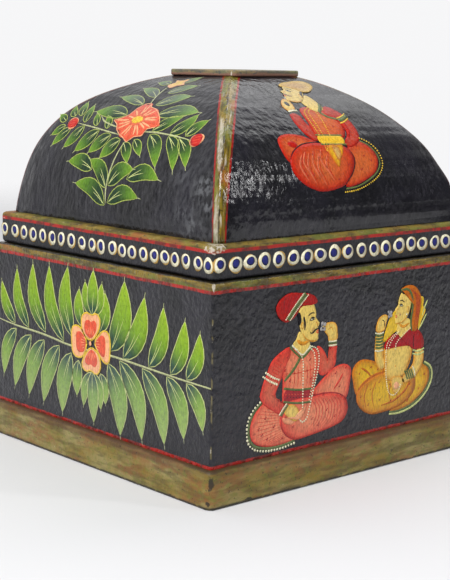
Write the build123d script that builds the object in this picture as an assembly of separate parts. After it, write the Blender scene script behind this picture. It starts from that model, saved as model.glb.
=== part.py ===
from build123d import *
import os
from math import cos, radians, sin, tan

# Square lacquered papier mache box with a lift-off lid.
# The box is built of flat boards mitred at the corners, with a plinth moulding round its foot and
# locating lips inside its rim.  The lid is a mitred collar, a ledge laid flat on the collar, and
# four curved panels that meet on mitred ribs under a small square cap.
# Millimetres, +Z up, origin at the centre of the underside.

# ---------------------------------------------------------------- driving dimensions: the box
box_side = 250.0              # outside of the walls
rim_height = 147.0            # underside to the top of the walls
wall_thickness = 10.0
bottom_thickness = 9.0
wall_corner_radius = 2.0
rim_edge_radius = 1.8

plinth_height = 25.4
plinth_projection = 4.4       # how far the moulding stands out from the walls
plinth_corner_radius = 5.5
plinth_top_radius = 3.2
plinth_foot_radius = 1.2

lip_thickness = 5.0
lip_below_rim = 28.0          # length glued to the inside of the wall
lip_above_rim = 10.0          # length that locates the lid
lip_lead_in = 1.5             # chamfer on the lip's upper outer edge

# ---------------------------------------------------------------- driving dimensions: the lid
lid_play = 1.1                # gap between the lips and the inside of the collar, each side
collar_setback = 2.9          # how far the collar stands in from the walls
collar_height = 18.3
collar_corner_radius = 2.0
collar_foot_radius = 3.0

ledge_thickness = 5.0
ledge_edge_radius = 3.0
ledge_tuck = 1.5              # how far the ledge runs in past the dome panels

dome_setback = 7.1            # edge of the ledge to the foot of the dome
dome_rise = 103.8
dome_skew = 1.4               # the dome sits this far off the box's centre, in +X and in -Y
panel_thickness = 6.0
rib_radius = 2.0              # softened arris where two panels meet
crown_side = 65.0             # flat square at the top of the dome
crown_rim = 5.0               # width of that flat before the panels' inner edge

cap_overhang = 1.3            # how far the cap stands out past the crown
cap_thickness = 4.5
cap_turn = 3.0                # degrees, as the cap was glued on
cap_corner_radius = 2.5
cap_edge_radius = 1.2

# A panel is three arcs that run into each other.  Its surface leans in from upright by these
# angles at the foot, at both ends of the haunch and at the crown; the haunch's radius is given,
# and the other two radii follow from the dome's run and rise.
foot_lean = 1.0
haunch_start_lean = 19.0
haunch_end_lean = 46.0
crown_lean = 75.0
haunch_radius = 83.0

# ---------------------------------------------------------------- sizes that follow
wall_half = box_side / 2
inside_half = wall_half - wall_thickness
plinth_half = wall_half + plinth_projection
lip_outer_half = inside_half
lip_inner_half = lip_outer_half - lip_thickness

collar_half = wall_half - collar_setback
collar_inner_half = lip_outer_half + lid_play
collar_top = rim_height + collar_height
ledge_top = collar_top + ledge_thickness

dome_half = collar_half - dome_setback
ledge_inner_half = dome_half - panel_thickness - dome_skew - ledge_tuck
crown_half = crown_side / 2
cap_half = crown_half + cap_overhang
crown_height = ledge_top + dome_rise

# A side's own frame faces -Y; each board is cut there and turned to its place.
SIDES = {"front": 0, "right": 90, "back": 180, "left": 270}


def block(half, low, high, corner_radius=0.0):
    """Upright square block about the Z axis, its corner edges rounded."""
    solid = Box(2 * half, 2 * half, high - low, align=(Align.CENTER, Align.CENTER, Align.MIN))
    if corner_radius > 0:
        solid = fillet(solid.edges().filter_by(Axis.Z), corner_radius)
    return Pos(0, 0, low) * solid


def edges_at(solid, height):
    """The level edges round a solid at one height."""
    level = [edge for edge in solid.edges() if edge.bounding_box().size.Z < 1e-5]
    return [edge for edge in level if abs(edge.center().Z - height) < 1e-5]


def wedge(reach, low, high):
    """The quarter of space between the two mitre planes of the front side."""
    triangle = Polygon((0, 0), (-reach, -reach), (reach, -reach), align=None)
    return Pos(0, 0, low) * extrude(triangle, high - low)


def mitred_side(ring, turn):
    """One side's board, cut from a square ring between its two mitre planes."""
    box = ring.bounding_box()
    reach = 2 * max(box.max.X, box.max.Y)
    return ring & (Rot(0, 0, turn) * wedge(reach, box.min.Z - 1, box.max.Z + 1))


def bottom_board():
    return block(wall_half, 0, bottom_thickness, wall_corner_radius)


def wall_ring():
    outer = block(wall_half, bottom_thickness, rim_height, wall_corner_radius)
    outer = fillet(edges_at(outer, rim_height), rim_edge_radius)
    return outer - block(inside_half, bottom_thickness - 1, rim_height + 1)


def plinth_ring():
    outer = block(plinth_half, 0, plinth_height, plinth_corner_radius)
    outer = fillet(edges_at(outer, plinth_height), plinth_top_radius)
    outer = fillet(edges_at(outer, 0), plinth_foot_radius)
    return outer - block(wall_half, -1, plinth_height + 1, wall_corner_radius)


def lip_ring():
    low = rim_height - lip_below_rim
    high = rim_height + lip_above_rim
    outer = block(lip_outer_half, low, high)
    outer = chamfer(edges_at(outer, high), lip_lead_in)
    return outer - block(lip_inner_half, low - 1, high + 1)


def collar_ring():
    outer = block(collar_half, rim_height, collar_top, collar_corner_radius)
    outer = fillet(edges_at(outer, rim_height), collar_foot_radius)
    return outer - block(collar_inner_half, rim_height - 1, collar_top + 1)


def ledge_ring():
    outer = block(collar_half, collar_top, ledge_top, collar_corner_radius)
    outer = fillet(edges_at(outer, ledge_top), ledge_edge_radius)
    return outer - block(ledge_inner_half, collar_top - 1, ledge_top + 1)


def panel_radii():
    """Radii of the foot, haunch and crown arcs that together make the dome's run and rise."""
    leans = [radians(a) for a in (foot_lean, haunch_start_lean, haunch_end_lean, crown_lean)]
    runs = [cos(a) - cos(b) for a, b in zip(leans, leans[1:])]
    rises = [sin(b) - sin(a) for a, b in zip(leans, leans[1:])]
    run_left = dome_half - crown_half - haunch_radius * runs[1]
    rise_left = dome_rise - haunch_radius * rises[1]
    both = runs[0] * rises[2] - runs[2] * rises[0]
    foot_radius = (run_left * rises[2] - runs[2] * rise_left) / both
    crown_radius = (runs[0] * rise_left - run_left * rises[0]) / both
    return foot_radius, haunch_radius, crown_radius


def panel_line(inset):
    """A panel's line from foot to crown, set in by some depth from its outer surface."""
    lean = radians(foot_lean)
    place = (dome_half - inset * cos(lean), ledge_top - inset * sin(lean))
    way = (-sin(lean), cos(lean))
    turns = (haunch_start_lean - foot_lean, haunch_end_lean - haunch_start_lean,
             crown_lean - haunch_end_lean)
    arcs = []
    for radius, turn in zip(panel_radii(), turns):
        arc = JernArc(start=place, tangent=way, radius=radius - inset, arc_size=turn)
        arcs.append(arc)
        place = arc @ 1
        way = arc % 1
    return arcs


def panel_section():
    """Section of a curved panel, standing to the right of the dome's axis."""
    outer = panel_line(0)
    lining = panel_line(panel_thickness)
    opening_half = crown_half - crown_rim
    inner_end = lining[-1] @ 1
    slope = radians(90 - crown_lean)
    edge_foot = (opening_half, inner_end.Y + (inner_end.X - opening_half) * tan(slope))
    foot = Line(lining[0] @ 0, outer[0] @ 0)
    flat = Line(outer[-1] @ 1, (opening_half, crown_height))
    edge = Line((opening_half, crown_height), edge_foot)
    run_out = Line(edge_foot, inner_end)
    return make_face([foot, *outer, flat, edge, run_out, *lining])


def is_rib(edge):
    """True for an edge that climbs along one of the square's diagonals."""
    middle = edge.position_at(0.5)
    return edge.bounding_box().size.Z > 1 and abs(abs(middle.X) - abs(middle.Y)) < 0.01


def dome_envelope():
    """The whole outside of the dome with its ribs softened."""
    outer = panel_line(0)
    flat = Line(outer[-1] @ 1, (0, crown_height))
    axis = Line((0, crown_height), (0, ledge_top))
    floor = Line((0, ledge_top), outer[0] @ 0)
    right = make_face([*outer, flat, axis, floor])
    profile = right + mirror(right, Plane.YZ)
    barrel = extrude(Plane.XZ * profile, dome_half + 1, both=True)
    dome = barrel & (Rot(0, 0, 90) * barrel)
    ribs = [edge for edge in dome.edges() if is_rib(edge)]
    return fillet(ribs, rib_radius)


def dome_panel(turn, envelope):
    """One curved panel between its two mitred ribs."""
    slab = extrude(Plane.XZ * panel_section(), dome_half + 1, both=True)
    facing_front = Rot(0, 0, -90) * slab
    piece = facing_front & wedge(2 * dome_half, ledge_top - 1, crown_height + 1)
    return (Rot(0, 0, turn) * piece) & envelope


def cap_plate():
    plate = block(cap_half, crown_height, crown_height + cap_thickness, cap_corner_radius)
    for height in (crown_height, crown_height + cap_thickness):
        plate = fillet(edges_at(plate, height), cap_edge_radius)
    return Rot(0, 0, cap_turn) * plate


def build():
    """Every piece of the box and lid by node name."""
    nodes = {"bottom_board": bottom_board()}
    rings = {"wall": wall_ring(), "plinth": plinth_ring(), "lip": lip_ring(),
             "collar": collar_ring(), "ledge": ledge_ring()}
    for name, ring in rings.items():
        for side, turn in SIDES.items():
            nodes[f"{name}_{side}"] = mitred_side(ring, turn)
    on_dome = Pos(dome_skew, -dome_skew, 0)
    envelope = dome_envelope()
    for side, turn in SIDES.items():
        nodes[f"dome_panel_{side}"] = on_dome * dome_panel(turn, envelope)
    nodes["cap_plate"] = on_dome * cap_plate()
    return nodes


os.makedirs("parts", exist_ok=True)
for node, shape in build().items():
    export_step(shape, f"parts/{node}.step")
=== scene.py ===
"""Looks of a square lacquered papier mache box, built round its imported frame.

The box is painted over black lacquer: leaf sprays on two walls, seated court figures on the other
two, flowers and figures again on the lid's curved panels, ring dots round the collar and olive
bands edged in red along every arris.  Lengths are millimetres until they are placed.
"""

import logging
import math
import random
from dataclasses import dataclass
from enum import Enum
from typing import Callable, Iterator, Optional, Sequence, Union

import bpy
import numpy as np
from mathutils import Matrix, Vector


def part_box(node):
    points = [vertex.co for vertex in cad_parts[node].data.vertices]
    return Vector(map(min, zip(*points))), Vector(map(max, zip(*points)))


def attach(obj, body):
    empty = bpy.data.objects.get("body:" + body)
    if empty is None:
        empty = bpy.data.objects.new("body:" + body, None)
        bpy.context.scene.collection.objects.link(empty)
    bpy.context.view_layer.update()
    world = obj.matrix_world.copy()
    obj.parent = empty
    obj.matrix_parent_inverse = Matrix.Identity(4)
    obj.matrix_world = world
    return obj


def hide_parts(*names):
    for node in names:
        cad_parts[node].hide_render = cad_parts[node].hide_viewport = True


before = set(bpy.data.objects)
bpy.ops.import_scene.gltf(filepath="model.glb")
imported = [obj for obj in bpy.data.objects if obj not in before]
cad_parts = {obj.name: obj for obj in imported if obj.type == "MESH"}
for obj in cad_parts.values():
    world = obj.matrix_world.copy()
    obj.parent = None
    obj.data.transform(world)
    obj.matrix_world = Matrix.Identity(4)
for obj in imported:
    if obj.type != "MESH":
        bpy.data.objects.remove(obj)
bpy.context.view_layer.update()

MM = 0.001
TRUE_PLACE = "true_place"
log = logging.getLogger("papier_mache_box")

Spot = tuple[float, float]
Triple = tuple[float, float, float]
Path = Union[Sequence[Spot], np.ndarray]
Rows = tuple[tuple[float, ...], ...]
Colour = tuple[float, float, float, float]


class Side(Enum):
    """The four sides, each with the turn in degrees that brings the front round to it."""

    FRONT = 0
    RIGHT = 90
    BACK = 180
    LEFT = 270

    @property
    def label(self) -> str:
        """The side's name as the frame's nodes spell it."""
        return self.name.lower()


def mixed(*seen: float) -> Colour:
    """The linear colour, with an alpha of 1, of a mixed colour given as seen, 0 to 255."""
    shares = [value / 255 for value in seen]
    return (*(v / 12.92 if v <= 0.04045 else ((v + 0.055) / 1.055) ** 2.4 for v in shares), 1.0)


class Ink(Enum):
    """Colours in the painter's box."""

    LEAF_TIP = mixed(152, 184, 42)
    LEAF_BODY = mixed(124, 162, 46)
    LEAF_ROOT = mixed(46, 76, 62)
    LEAF_DEEP = mixed(38, 62, 40)
    LEAF_OLIVE = mixed(92, 132, 40)
    LEAF_LINE = mixed(206, 214, 138)
    LEAF_RIM = mixed(172, 186, 92)
    STEM = mixed(186, 190, 140)
    YELLOW = mixed(236, 196, 62)
    PEACH = mixed(248, 180, 132)
    ROSE = mixed(226, 90, 62)
    BERRY = mixed(196, 44, 40)
    ORANGE = mixed(214, 108, 74)
    CREAM = mixed(242, 236, 206)
    BLUE = mixed(44, 48, 120)
    BLACK = mixed(24, 24, 28)
    SKIN = mixed(236, 204, 108)
    SKIN_SHADE = mixed(222, 150, 44)
    ROBE = mixed(238, 142, 104)
    ROBE_EDGE = mixed(220, 60, 48)
    TURBAN = mixed(172, 30, 24)
    CRIMSON = mixed(168, 36, 44)
    BORDER = mixed(96, 112, 62)
    HAIR = mixed(30, 28, 32)
    PEARL = mixed(236, 232, 196)
    SAFFRON = mixed(230, 184, 34)
    AMBER = mixed(198, 106, 20)
    SCARLET = mixed(186, 20, 6)
    EMBER = mixed(204, 98, 44)
    SLEEVE = mixed(212, 106, 80)
    RUSSET = mixed(182, 60, 38)
    OCHRE = mixed(206, 168, 96)
    SILVER = mixed(168, 164, 164)


@dataclass(frozen=True)
class Grounds:
    """The grounds that the painter lays before the patterns; some also serve as painted sheen, highlight
    and shade.
    """

    black_deep: Colour = mixed(8, 8, 12)
    black_thin_and_sheen: Colour = mixed(26, 25, 33)
    dust: Colour = mixed(74, 72, 78)
    film: Colour = mixed(152, 154, 158)
    olive: Colour = mixed(128, 106, 30)
    olive_dark: Colour = mixed(74, 62, 18)
    olive_green: Colour = mixed(104, 112, 34)
    khaki: Colour = mixed(147, 134, 82)
    umber: Colour = mixed(132, 76, 34)
    rust: Colour = mixed(156, 84, 36)
    rust_dark: Colour = mixed(84, 50, 22)
    red: Colour = mixed(164, 20, 8)
    red_thin: Colour = mixed(104, 24, 16)
    gesso: Colour = mixed(206, 198, 184)
    grime_and_shade: Colour = mixed(34, 28, 20)
    lining: Colour = mixed(120, 26, 22)
    lining_dark: Colour = mixed(84, 18, 16)


GROUND = Grounds()


# ---------------------------------------- finishes


def sign(operation: str, swapped: bool = False) -> Callable[["Wire", "Value"], "Wire"]:
    """Makes the method that an arithmetic sign stands for; swapped, the other value leads."""

    def method(wire: "Wire", other: "Value") -> "Wire":
        """Adds a Math node on both values."""
        return wire.recipe.math(operation, *((other, wire) if swapped else (wire, other)))

    return method


@dataclass(frozen=True)
class Wire:
    """A value in a finish being written, on which arithmetic adds Math nodes."""

    recipe: "Recipe"
    socket: bpy.types.NodeSocket

    def __abs__(self) -> "Wire":
        """The size without its sign."""
        return self.recipe.math("ABSOLUTE", self)

    __add__ = __radd__ = sign("ADD")
    __sub__ = sign("SUBTRACT")
    __rsub__ = sign("SUBTRACT", swapped=True)
    __mul__ = __rmul__ = sign("MULTIPLY")
    __truediv__ = sign("DIVIDE")
    least = sign("MINIMUM")
    most = sign("MAXIMUM")


Value = Union[float, Wire]
Paint = Union[Colour, Wire]


class Recipe:
    """A node tree being written from Python expressions."""

    def __init__(self, tree: bpy.types.NodeTree) -> None:
        """Empties the tree and reads the coordinates, in millimetres."""
        self.tree = tree
        tree.nodes.clear()
        here = self.node("ShaderNodeTexCoord")
        self.normal = self.split(self.wire(here, "Normal"))
        self.direction = self.wire(here, "Generated")
        self.place = self.wire(self.node("ShaderNodeVectorMath", {"operation": "SCALE"},
                                         {0: self.wire(here, "Object"), "Scale": 1 / MM}))
        self.x, self.y, self.z = self.split(self.place)

    def read_place(self, name: str) -> None:
        """Takes places from an attribute, on a piece that was bent after it was made."""
        self.place = self.attribute(name, "Vector")
        self.x, self.y, self.z = self.split(self.place)

    def node(self, kind: str, settings: Optional[dict] = None,
             inputs: Optional[dict] = None) -> bpy.types.Node:
        """Adds one node.

        Args:
            kind: The node's type.
            settings: Its settings by name, which are set first.
            inputs: Values or wires by socket name or number.

        Returns:
            The node.
        """
        made = self.tree.nodes.new(kind)
        for name, value in (settings or {}).items():
            setattr(made, name, value)
        for name, value in (inputs or {}).items():
            if isinstance(value, Wire):
                self.tree.links.new(value.socket, made.inputs[name])
            else:
                made.inputs[name].default_value = value
        return made

    def wire(self, node: bpy.types.Node, output: Union[int, str] = 0) -> Wire:
        """One output of a node as a value."""
        return Wire(self, node.outputs[output])

    def math(self, operation: str, *values: Value) -> Wire:
        """Adds a Math node on up to three values."""
        return self.wire(self.node("ShaderNodeMath", {"operation": operation},
                                   dict(enumerate(values))))

    def split(self, vector: Wire) -> tuple[Wire, Wire, Wire]:
        """The three parts of a vector."""
        parts = self.node("ShaderNodeSeparateXYZ", inputs={0: vector})
        return self.wire(parts, 0), self.wire(parts, 1), self.wire(parts, 2)

    def join(self, *parts: Value) -> Wire:
        """A vector of three parts."""
        return self.wire(self.node("ShaderNodeCombineXYZ", inputs=dict(enumerate(parts))))

    def above(self, value: Wire, edge: float, blur: float) -> Wire:
        """0 below an edge and 1 above it, with a soft step as wide as the blur."""
        reach = {"Value": value, "From Min": edge - blur / 2, "From Max": edge + blur / 2}
        return self.wire(self.node("ShaderNodeMapRange", {"interpolation_type": "SMOOTHSTEP"}, reach))

    def below(self, value: Wire, edge: float, blur: float) -> Wire:
        """1 below a soft step and 0 above it."""
        return 1 - self.above(value, edge, blur)

    def between(self, value: Wire, low: float, high: float, blur: float) -> Wire:
        """1 between two edges and 0 outside them."""
        return self.above(value, low, blur) * self.below(value, high, blur)

    def noise(self, size: float, detail: float = 2.0, stretch: Sequence[float] = (1, 1, 1),
              seed: float = 0.0, place: Optional[Wire] = None) -> Wire:
        """Smooth random clouds.

        Args:
            size: Millimetres across a typical cloud.
            detail: Octaves of finer cloud.
            stretch: Frequency along each axis.
            seed: Where in the noise the clouds are taken.
            place: The places to read instead of the piece's own.

        Returns:
            A value about 0.5.
        """
        spot = self.node("ShaderNodeVectorMath", {"operation": "MULTIPLY_ADD"},
                         {0: place or self.place, 1: tuple(s / size for s in stretch),
                          2: (seed, 1.7 * seed, -seed)})
        clouds = self.node("ShaderNodeTexNoise",
                           inputs={"Vector": self.wire(spot), "Scale": 1.0, "Detail": detail})
        return self.wire(clouds, "Fac")

    def waver(self, much: float, *noise: object, **more: object) -> Wire:
        """Clouds about 0, much deep, that take a straight edge off its line."""
        return much * (self.noise(*noise, **more) - 0.5)

    def mix(self, mask: Value, under: Paint, over: Paint, blend: str = "MIX") -> Wire:
        """Lays one colour over another where the mask is 1."""
        node = self.node("ShaderNodeMix", {"data_type": "RGBA", "blend_type": blend},
                         {0: mask, 6: under, 7: over})
        return self.wire(node, 2)

    def coats(self, ground: Paint, *coats: tuple[Value, Paint]) -> Wire:
        """Lays coats over a ground, each a mask and the colour that covers where it is 1."""
        for mask, over in coats:
            ground = self.mix(mask, ground, over)
        return ground

    def attribute(self, name: str, output: str = "Color") -> Wire:
        """What a piece's own attribute holds."""
        return self.wire(self.node("ShaderNodeAttribute", {"attribute_name": name}), output)

    def bump(self, height: Wire, depth: float) -> Wire:
        """A normal raised by a height of 0 to 1, some millimetres deep."""
        return self.wire(self.node("ShaderNodeBump",
                                   inputs={"Height": height, "Distance": depth * MM}))

    def surface(self, colour: Paint, roughness: Value, normal: Wire, gloss: float = 0.5) -> None:
        """Ends the recipe in a painted, varnished surface of some gloss."""
        shader = self.node("ShaderNodeBsdfPrincipled", inputs={
            "Base Color": colour, "Roughness": roughness, "Normal": normal,
            "Specular IOR Level": gloss})
        self.node("ShaderNodeOutputMaterial", inputs={"Surface": self.wire(shader)})


class Lacquer(Recipe):
    """A recipe that knows the workshop's own paints."""

    def black(self) -> Wire:
        """Black ground, thicker and thinner in clouds, with dust in its hollows."""
        dusty = self.above(self.noise(2.6, 5, (1, 1, 0.7), seed=12), 0.54, 0.2)
        dusty = dusty * self.above(self.noise(20, 3, seed=15), 0.46, 0.3)
        clouds = self.above(self.noise(34, 4), 0.5, 0.4)
        return self.coats(GROUND.black_deep, (clouds, GROUND.black_thin_and_sheen),
                          (0.22 * dusty, GROUND.dust))

    def olive(self, place: Optional[Wire] = None) -> Wire:
        """Olive paint for edges, brushed along them in streaks and rubbed dirty.

        Args:
            place: Places whose third part runs across the band, if it isn't level.

        Returns:
            The colour.
        """
        streaks = self.noise(4.5, 4, (0.3, 0.3, 1.5), 3, place)
        greener = self.noise(11, 3, (0.4, 0.4, 1.2), 8, place)
        rusty = self.noise(24, 3, (0.6, 0.6, 1.4), 18, place)
        rubbed = self.noise(2.0, 5, (0.5, 0.5, 1), 28, place)
        return self.coats(
            GROUND.olive,
            (self.above(streaks, 0.5, 0.24), GROUND.olive_dark),
            (0.6 * self.above(greener, 0.55, 0.16), GROUND.olive_green),
            (0.6 * self.above(rusty, 0.6, 0.12), GROUND.rust),
            (0.5 * self.above(rubbed, 0.64, 0.1), GROUND.khaki),
            (0.85 * self.above(self.noise(2.4, 4, seed=5), 0.65, 0.1), GROUND.grime_and_shade))

    def red(self) -> Wire:
        """Red paint for the fine lines, thin in places."""
        return self.mix(self.above(self.noise(6, 4, seed=11), 0.52, 0.2), GROUND.red,
                        GROUND.red_thin)

    def lining(self) -> Wire:
        """The dark red lacquer of the inside."""
        return self.mix(self.above(self.noise(28, 3, seed=21), 0.5, 0.4), GROUND.lining,
                        GROUND.lining_dark)

    def lined(self, outside: Wire) -> Wire:
        """The outside's colour, and the lining on the faces that look inwards."""
        facing = self.normal[0] * self.x + self.normal[1] * self.y
        return self.mix(self.above(0 - facing, 6, 4), outside, self.lining())

    def chip(self, place: Sequence[float], reach: float, tall: float = 1.0,
             seed: float = 0.0) -> Wire:
        """A ragged chip about one place.

        Args:
            place: The chip's middle in millimetres.
            reach: How far it spreads sideways.
            tall: How much taller than wide it is.
            seed: Which noise tears its edge.

        Returns:
            1 inside the chip.
        """
        east, north = self.x - place[0], self.y - place[1]
        up = (self.z - place[2]) / tall
        away = self.math("SQRT", east * east + north * north + up * up)
        torn = away + self.waver(1.6 * reach, 1.1 + 0.3 * reach, 4, (1, 1, 1 / tall), seed)
        return self.below(torn, 0.75 * reach, 0.3 * reach)

    def chips(self, mask: Wire, rows: Rows) -> Wire:
        """A mask with chips added to it, each a row of x, y, z, reach, tall and seed."""
        for x, y, z, reach, tall, seed in rows:
            mask = mask.most(self.chip((x, y, z), reach, tall, seed))
        return mask

    def pulp(self, fibre: float = 2.0, seed: float = 6.0) -> Wire:
        """The height of hand-laid paper about 0.5: lumps, and fibres so many millimetres across."""
        fine = self.noise(fibre, 3, (1, 1, 0.8), seed)
        return 0.55 * fine + 0.45 * self.noise(3.5 * fibre, 2, seed=seed + 1)


class Finish:
    """One painted finish, made into a material by its pattern."""

    name = "finish"

    def make(self) -> bpy.types.Material:
        """Writes the finish.

        Returns:
            The material.
        """
        material = bpy.data.materials.new(self.name)
        material.use_nodes = True
        self.write(Lacquer(material.node_tree))
        return material

    def write(self, r: Lacquer) -> None:
        """Writes the finish's recipe."""
        raise NotImplementedError


@dataclass(frozen=True)
class WallFinish(Finish):
    """Black walls between a red foot line and a red-edged olive rim."""

    name: str = "wall_lacquer"
    foot_line: Spot = (25.0, 27.6)
    rim_line: Spot = (139.6, 141.8)
    lip_gap: float = 146.1
    half: float = 125.0
    chips: Rows = ((-125, -125, 109, 0.8, 1.5, 30), (-125, -125, 86, 0.6, 1.5, 31),
                   (-125, -125, 63, 1.0, 1.5, 32), (-125, -125, 40, 0.9, 1.5, 33),
                   (-125, -125, 33, 0.7, 1.5, 34), (-125, -125, 120, 0.6, 1.5, 35),
                   (-124.4, -125, 144.5, 1.6, 2.4, 37))

    def write(self, r: Lacquer) -> None:
        """Lays the ground, a painted floor reflection low on the walls, the lines, the rim band, the
        painted shadow under the lid and the wear.
        """
        level = r.z + r.waver(1.0, 34, 3, seed=2)
        brush = r.waver(1.3, 16, 4, (1, 1, 0.2), seed=17)
        lines = r.between(level + brush, *self.foot_line, 0.3)
        lines = lines + r.between(level + 0.6 * brush, *self.rim_line, 0.3)
        gap_shade = r.above(r.z + r.waver(2.2, 20, 3, seed=19), self.lip_gap, 0.5)
        corner = r.above(abs(r.x).least(abs(r.y)), self.half - 0.9, 1.0)
        rubbed = corner * r.above(r.noise(3.0, 5, (1, 1, 0.4), seed=31), 0.52, 0.1)
        bare = corner * r.above(r.noise(3.4, 3, seed=31), 0.66, 0.06)
        colour = r.coats(
            r.black(),
            # painted floor reflection: the black is made lighter towards the foot of the wall
            (0.5 * r.below(r.z, 70, 110), GROUND.black_thin_and_sheen),
            (r.above(level, self.rim_line[1], 0.3), r.olive()),
            (lines, r.red()),
            (0.92 * gap_shade, GROUND.black_deep),
            (0.55 * rubbed, GROUND.khaki),
            (0.65 * r.chips(bare, self.chips), GROUND.gesso))
        roughness = 0.16 + 0.3 * r.noise(12, 3, seed=9)
        r.surface(r.lined(colour), roughness, r.bump(r.pulp(3.2), 2.2))


@dataclass(frozen=True)
class PlinthFinish(Finish):
    """Olive and khaki moulding, rubbed to umber in streaks."""

    name: str = "plinth_paint"
    bruises: Rows = ((-128.4, -129.4, 17, 3.4, 2.4, 46), (-129.4, -127.4, 4, 2.2, 1.2, 51),
                     (-129.4, -89.4, 0.6, 3.0, 0.6, 52), (-95.4, -129.4, 0.8, 5.0, 0.5, 53))
    chips: Rows = ((-128.8, -129.4, 19, 1.3, 3.2, 54), (-129.4, -128.8, 3, 1.2, 1.0, 55))

    def write(self, r: Lacquer) -> None:
        """Lays olive, khaki clouds, umber streaks, green scuffs, a reddish-brown top, a dark band at the
        top edge that is partly dirt and partly painted shade, and worn arrises.
        """
        streaks = r.noise(5, 5, (0.25, 0.25, 1.3), seed=40)
        umber = r.above(r.noise(19, 5, (0.5, 0.5, 1.5), seed=43), 0.53, 0.2)
        umber = umber * r.above(r.noise(3.0, 5, (0.35, 0.35, 1), seed=44), 0.45, 0.2)
        scuffed = r.above(r.noise(2.4, 5, (0.5, 0.5, 1), seed=49), 0.57, 0.14)
        level = r.z + r.waver(3, 14, 4, seed=42)
        right = r.above(r.x + 2 * r.y, -330, 60)
        edge = r.above(level, 20.6, 2.4) * (0.3 + 0.35 * right)
        foot = r.below(r.z, 1.6, 1.4) * r.above(r.noise(7, 4, seed=47), 0.42, 0.12)
        flecks = r.above(r.noise(1.8, 4, seed=45), 0.66, 0.06)
        pale = r.above(r.noise(2.2, 4, seed=56), 0.76, 0.04)
        colour = r.coats(
            GROUND.olive,
            (r.above(r.noise(40, 4, (1, 1, 2), seed=41), 0.46, 0.3), GROUND.khaki),
            (0.7 * r.above(streaks, 0.52, 0.24), GROUND.olive_dark),
            (0.6 * umber, GROUND.umber),
            (0.5 * scuffed, GROUND.olive_green),
            # dark band along the plinth's top edge: partly dirt, partly painted shade where the wall meets
            # the plinth
            (0.75 * r.above(level, 24.2, 1.2), GROUND.grime_and_shade),
            (edge, GROUND.rust_dark),
            (0.9 * r.chips(foot.most(0.8 * flecks), self.bruises), GROUND.grime_and_shade),
            (0.6 * r.chips(pale, self.chips), GROUND.gesso))
        roughness = 0.42 + 0.3 * r.noise(8, 2, seed=50)
        r.surface(colour, roughness, r.bump(r.pulp(3.0, 48), 1.2))


@dataclass(frozen=True)
class CollarFinish(Finish):
    """Black collar that carries the ring dots."""

    name: str = "collar_lacquer"
    rim: float = 164.9
    crack: Triple = (-122.1, -121.5, 158)
    chip: Triple = (-122.1, -122.1, 166)

    def write(self, r: Lacquer) -> None:
        """Lays the ground, a red line under the ledge, the near joint's crack and the lining."""
        colour = r.coats(
            r.black(),
            (r.above(r.z + r.waver(1.0, 26, 3, seed=52), self.rim, 0.3), r.red()),
            (0.9 * r.chip(self.crack, 0.9, 12, 57), GROUND.grime_and_shade),
            (0.85 * r.chip(self.chip, 2.6, 1.0, 58), GROUND.gesso))
        roughness = 0.3 + 0.3 * r.noise(12, 3, seed=55)
        r.surface(r.lined(colour), roughness, r.bump(r.pulp(1.8, 53), 1.6))


@dataclass(frozen=True)
class LedgeFinish(Finish):
    """Olive ledge with a red line round its edge."""

    name: str = "ledge_paint"
    line_top: float = 167.2
    corner: float = 117.5
    near_corner: Triple = (-118.1, -118.1, 169)

    def write(self, r: Lacquer) -> None:
        """Lays olive, the red line and pale rubbed wear at the corners."""
        level = r.z + r.waver(1.2, 26, 3, seed=52)
        corner = r.above(abs(r.x).least(abs(r.y)), self.corner, 4)
        worn = corner * r.above(r.noise(4, 4, seed=61), 0.56, 0.08)
        near = r.chip(self.near_corner, 8.5, 0.8, 62)
        speckled = near * r.above(r.noise(2.0, 5, seed=65), 0.52, 0.1)
        colour = r.coats(
            r.red(),
            (r.above(level, self.line_top, 0.3), r.olive()),
            (0.45 * near, GROUND.khaki),
            (0.75 * worn.most(speckled), GROUND.gesso))
        roughness = 0.42 + 0.25 * r.noise(9, 3, seed=66)
        r.surface(r.lined(colour), roughness, r.bump(r.pulp(2.2, 63), 0.8))


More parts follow.
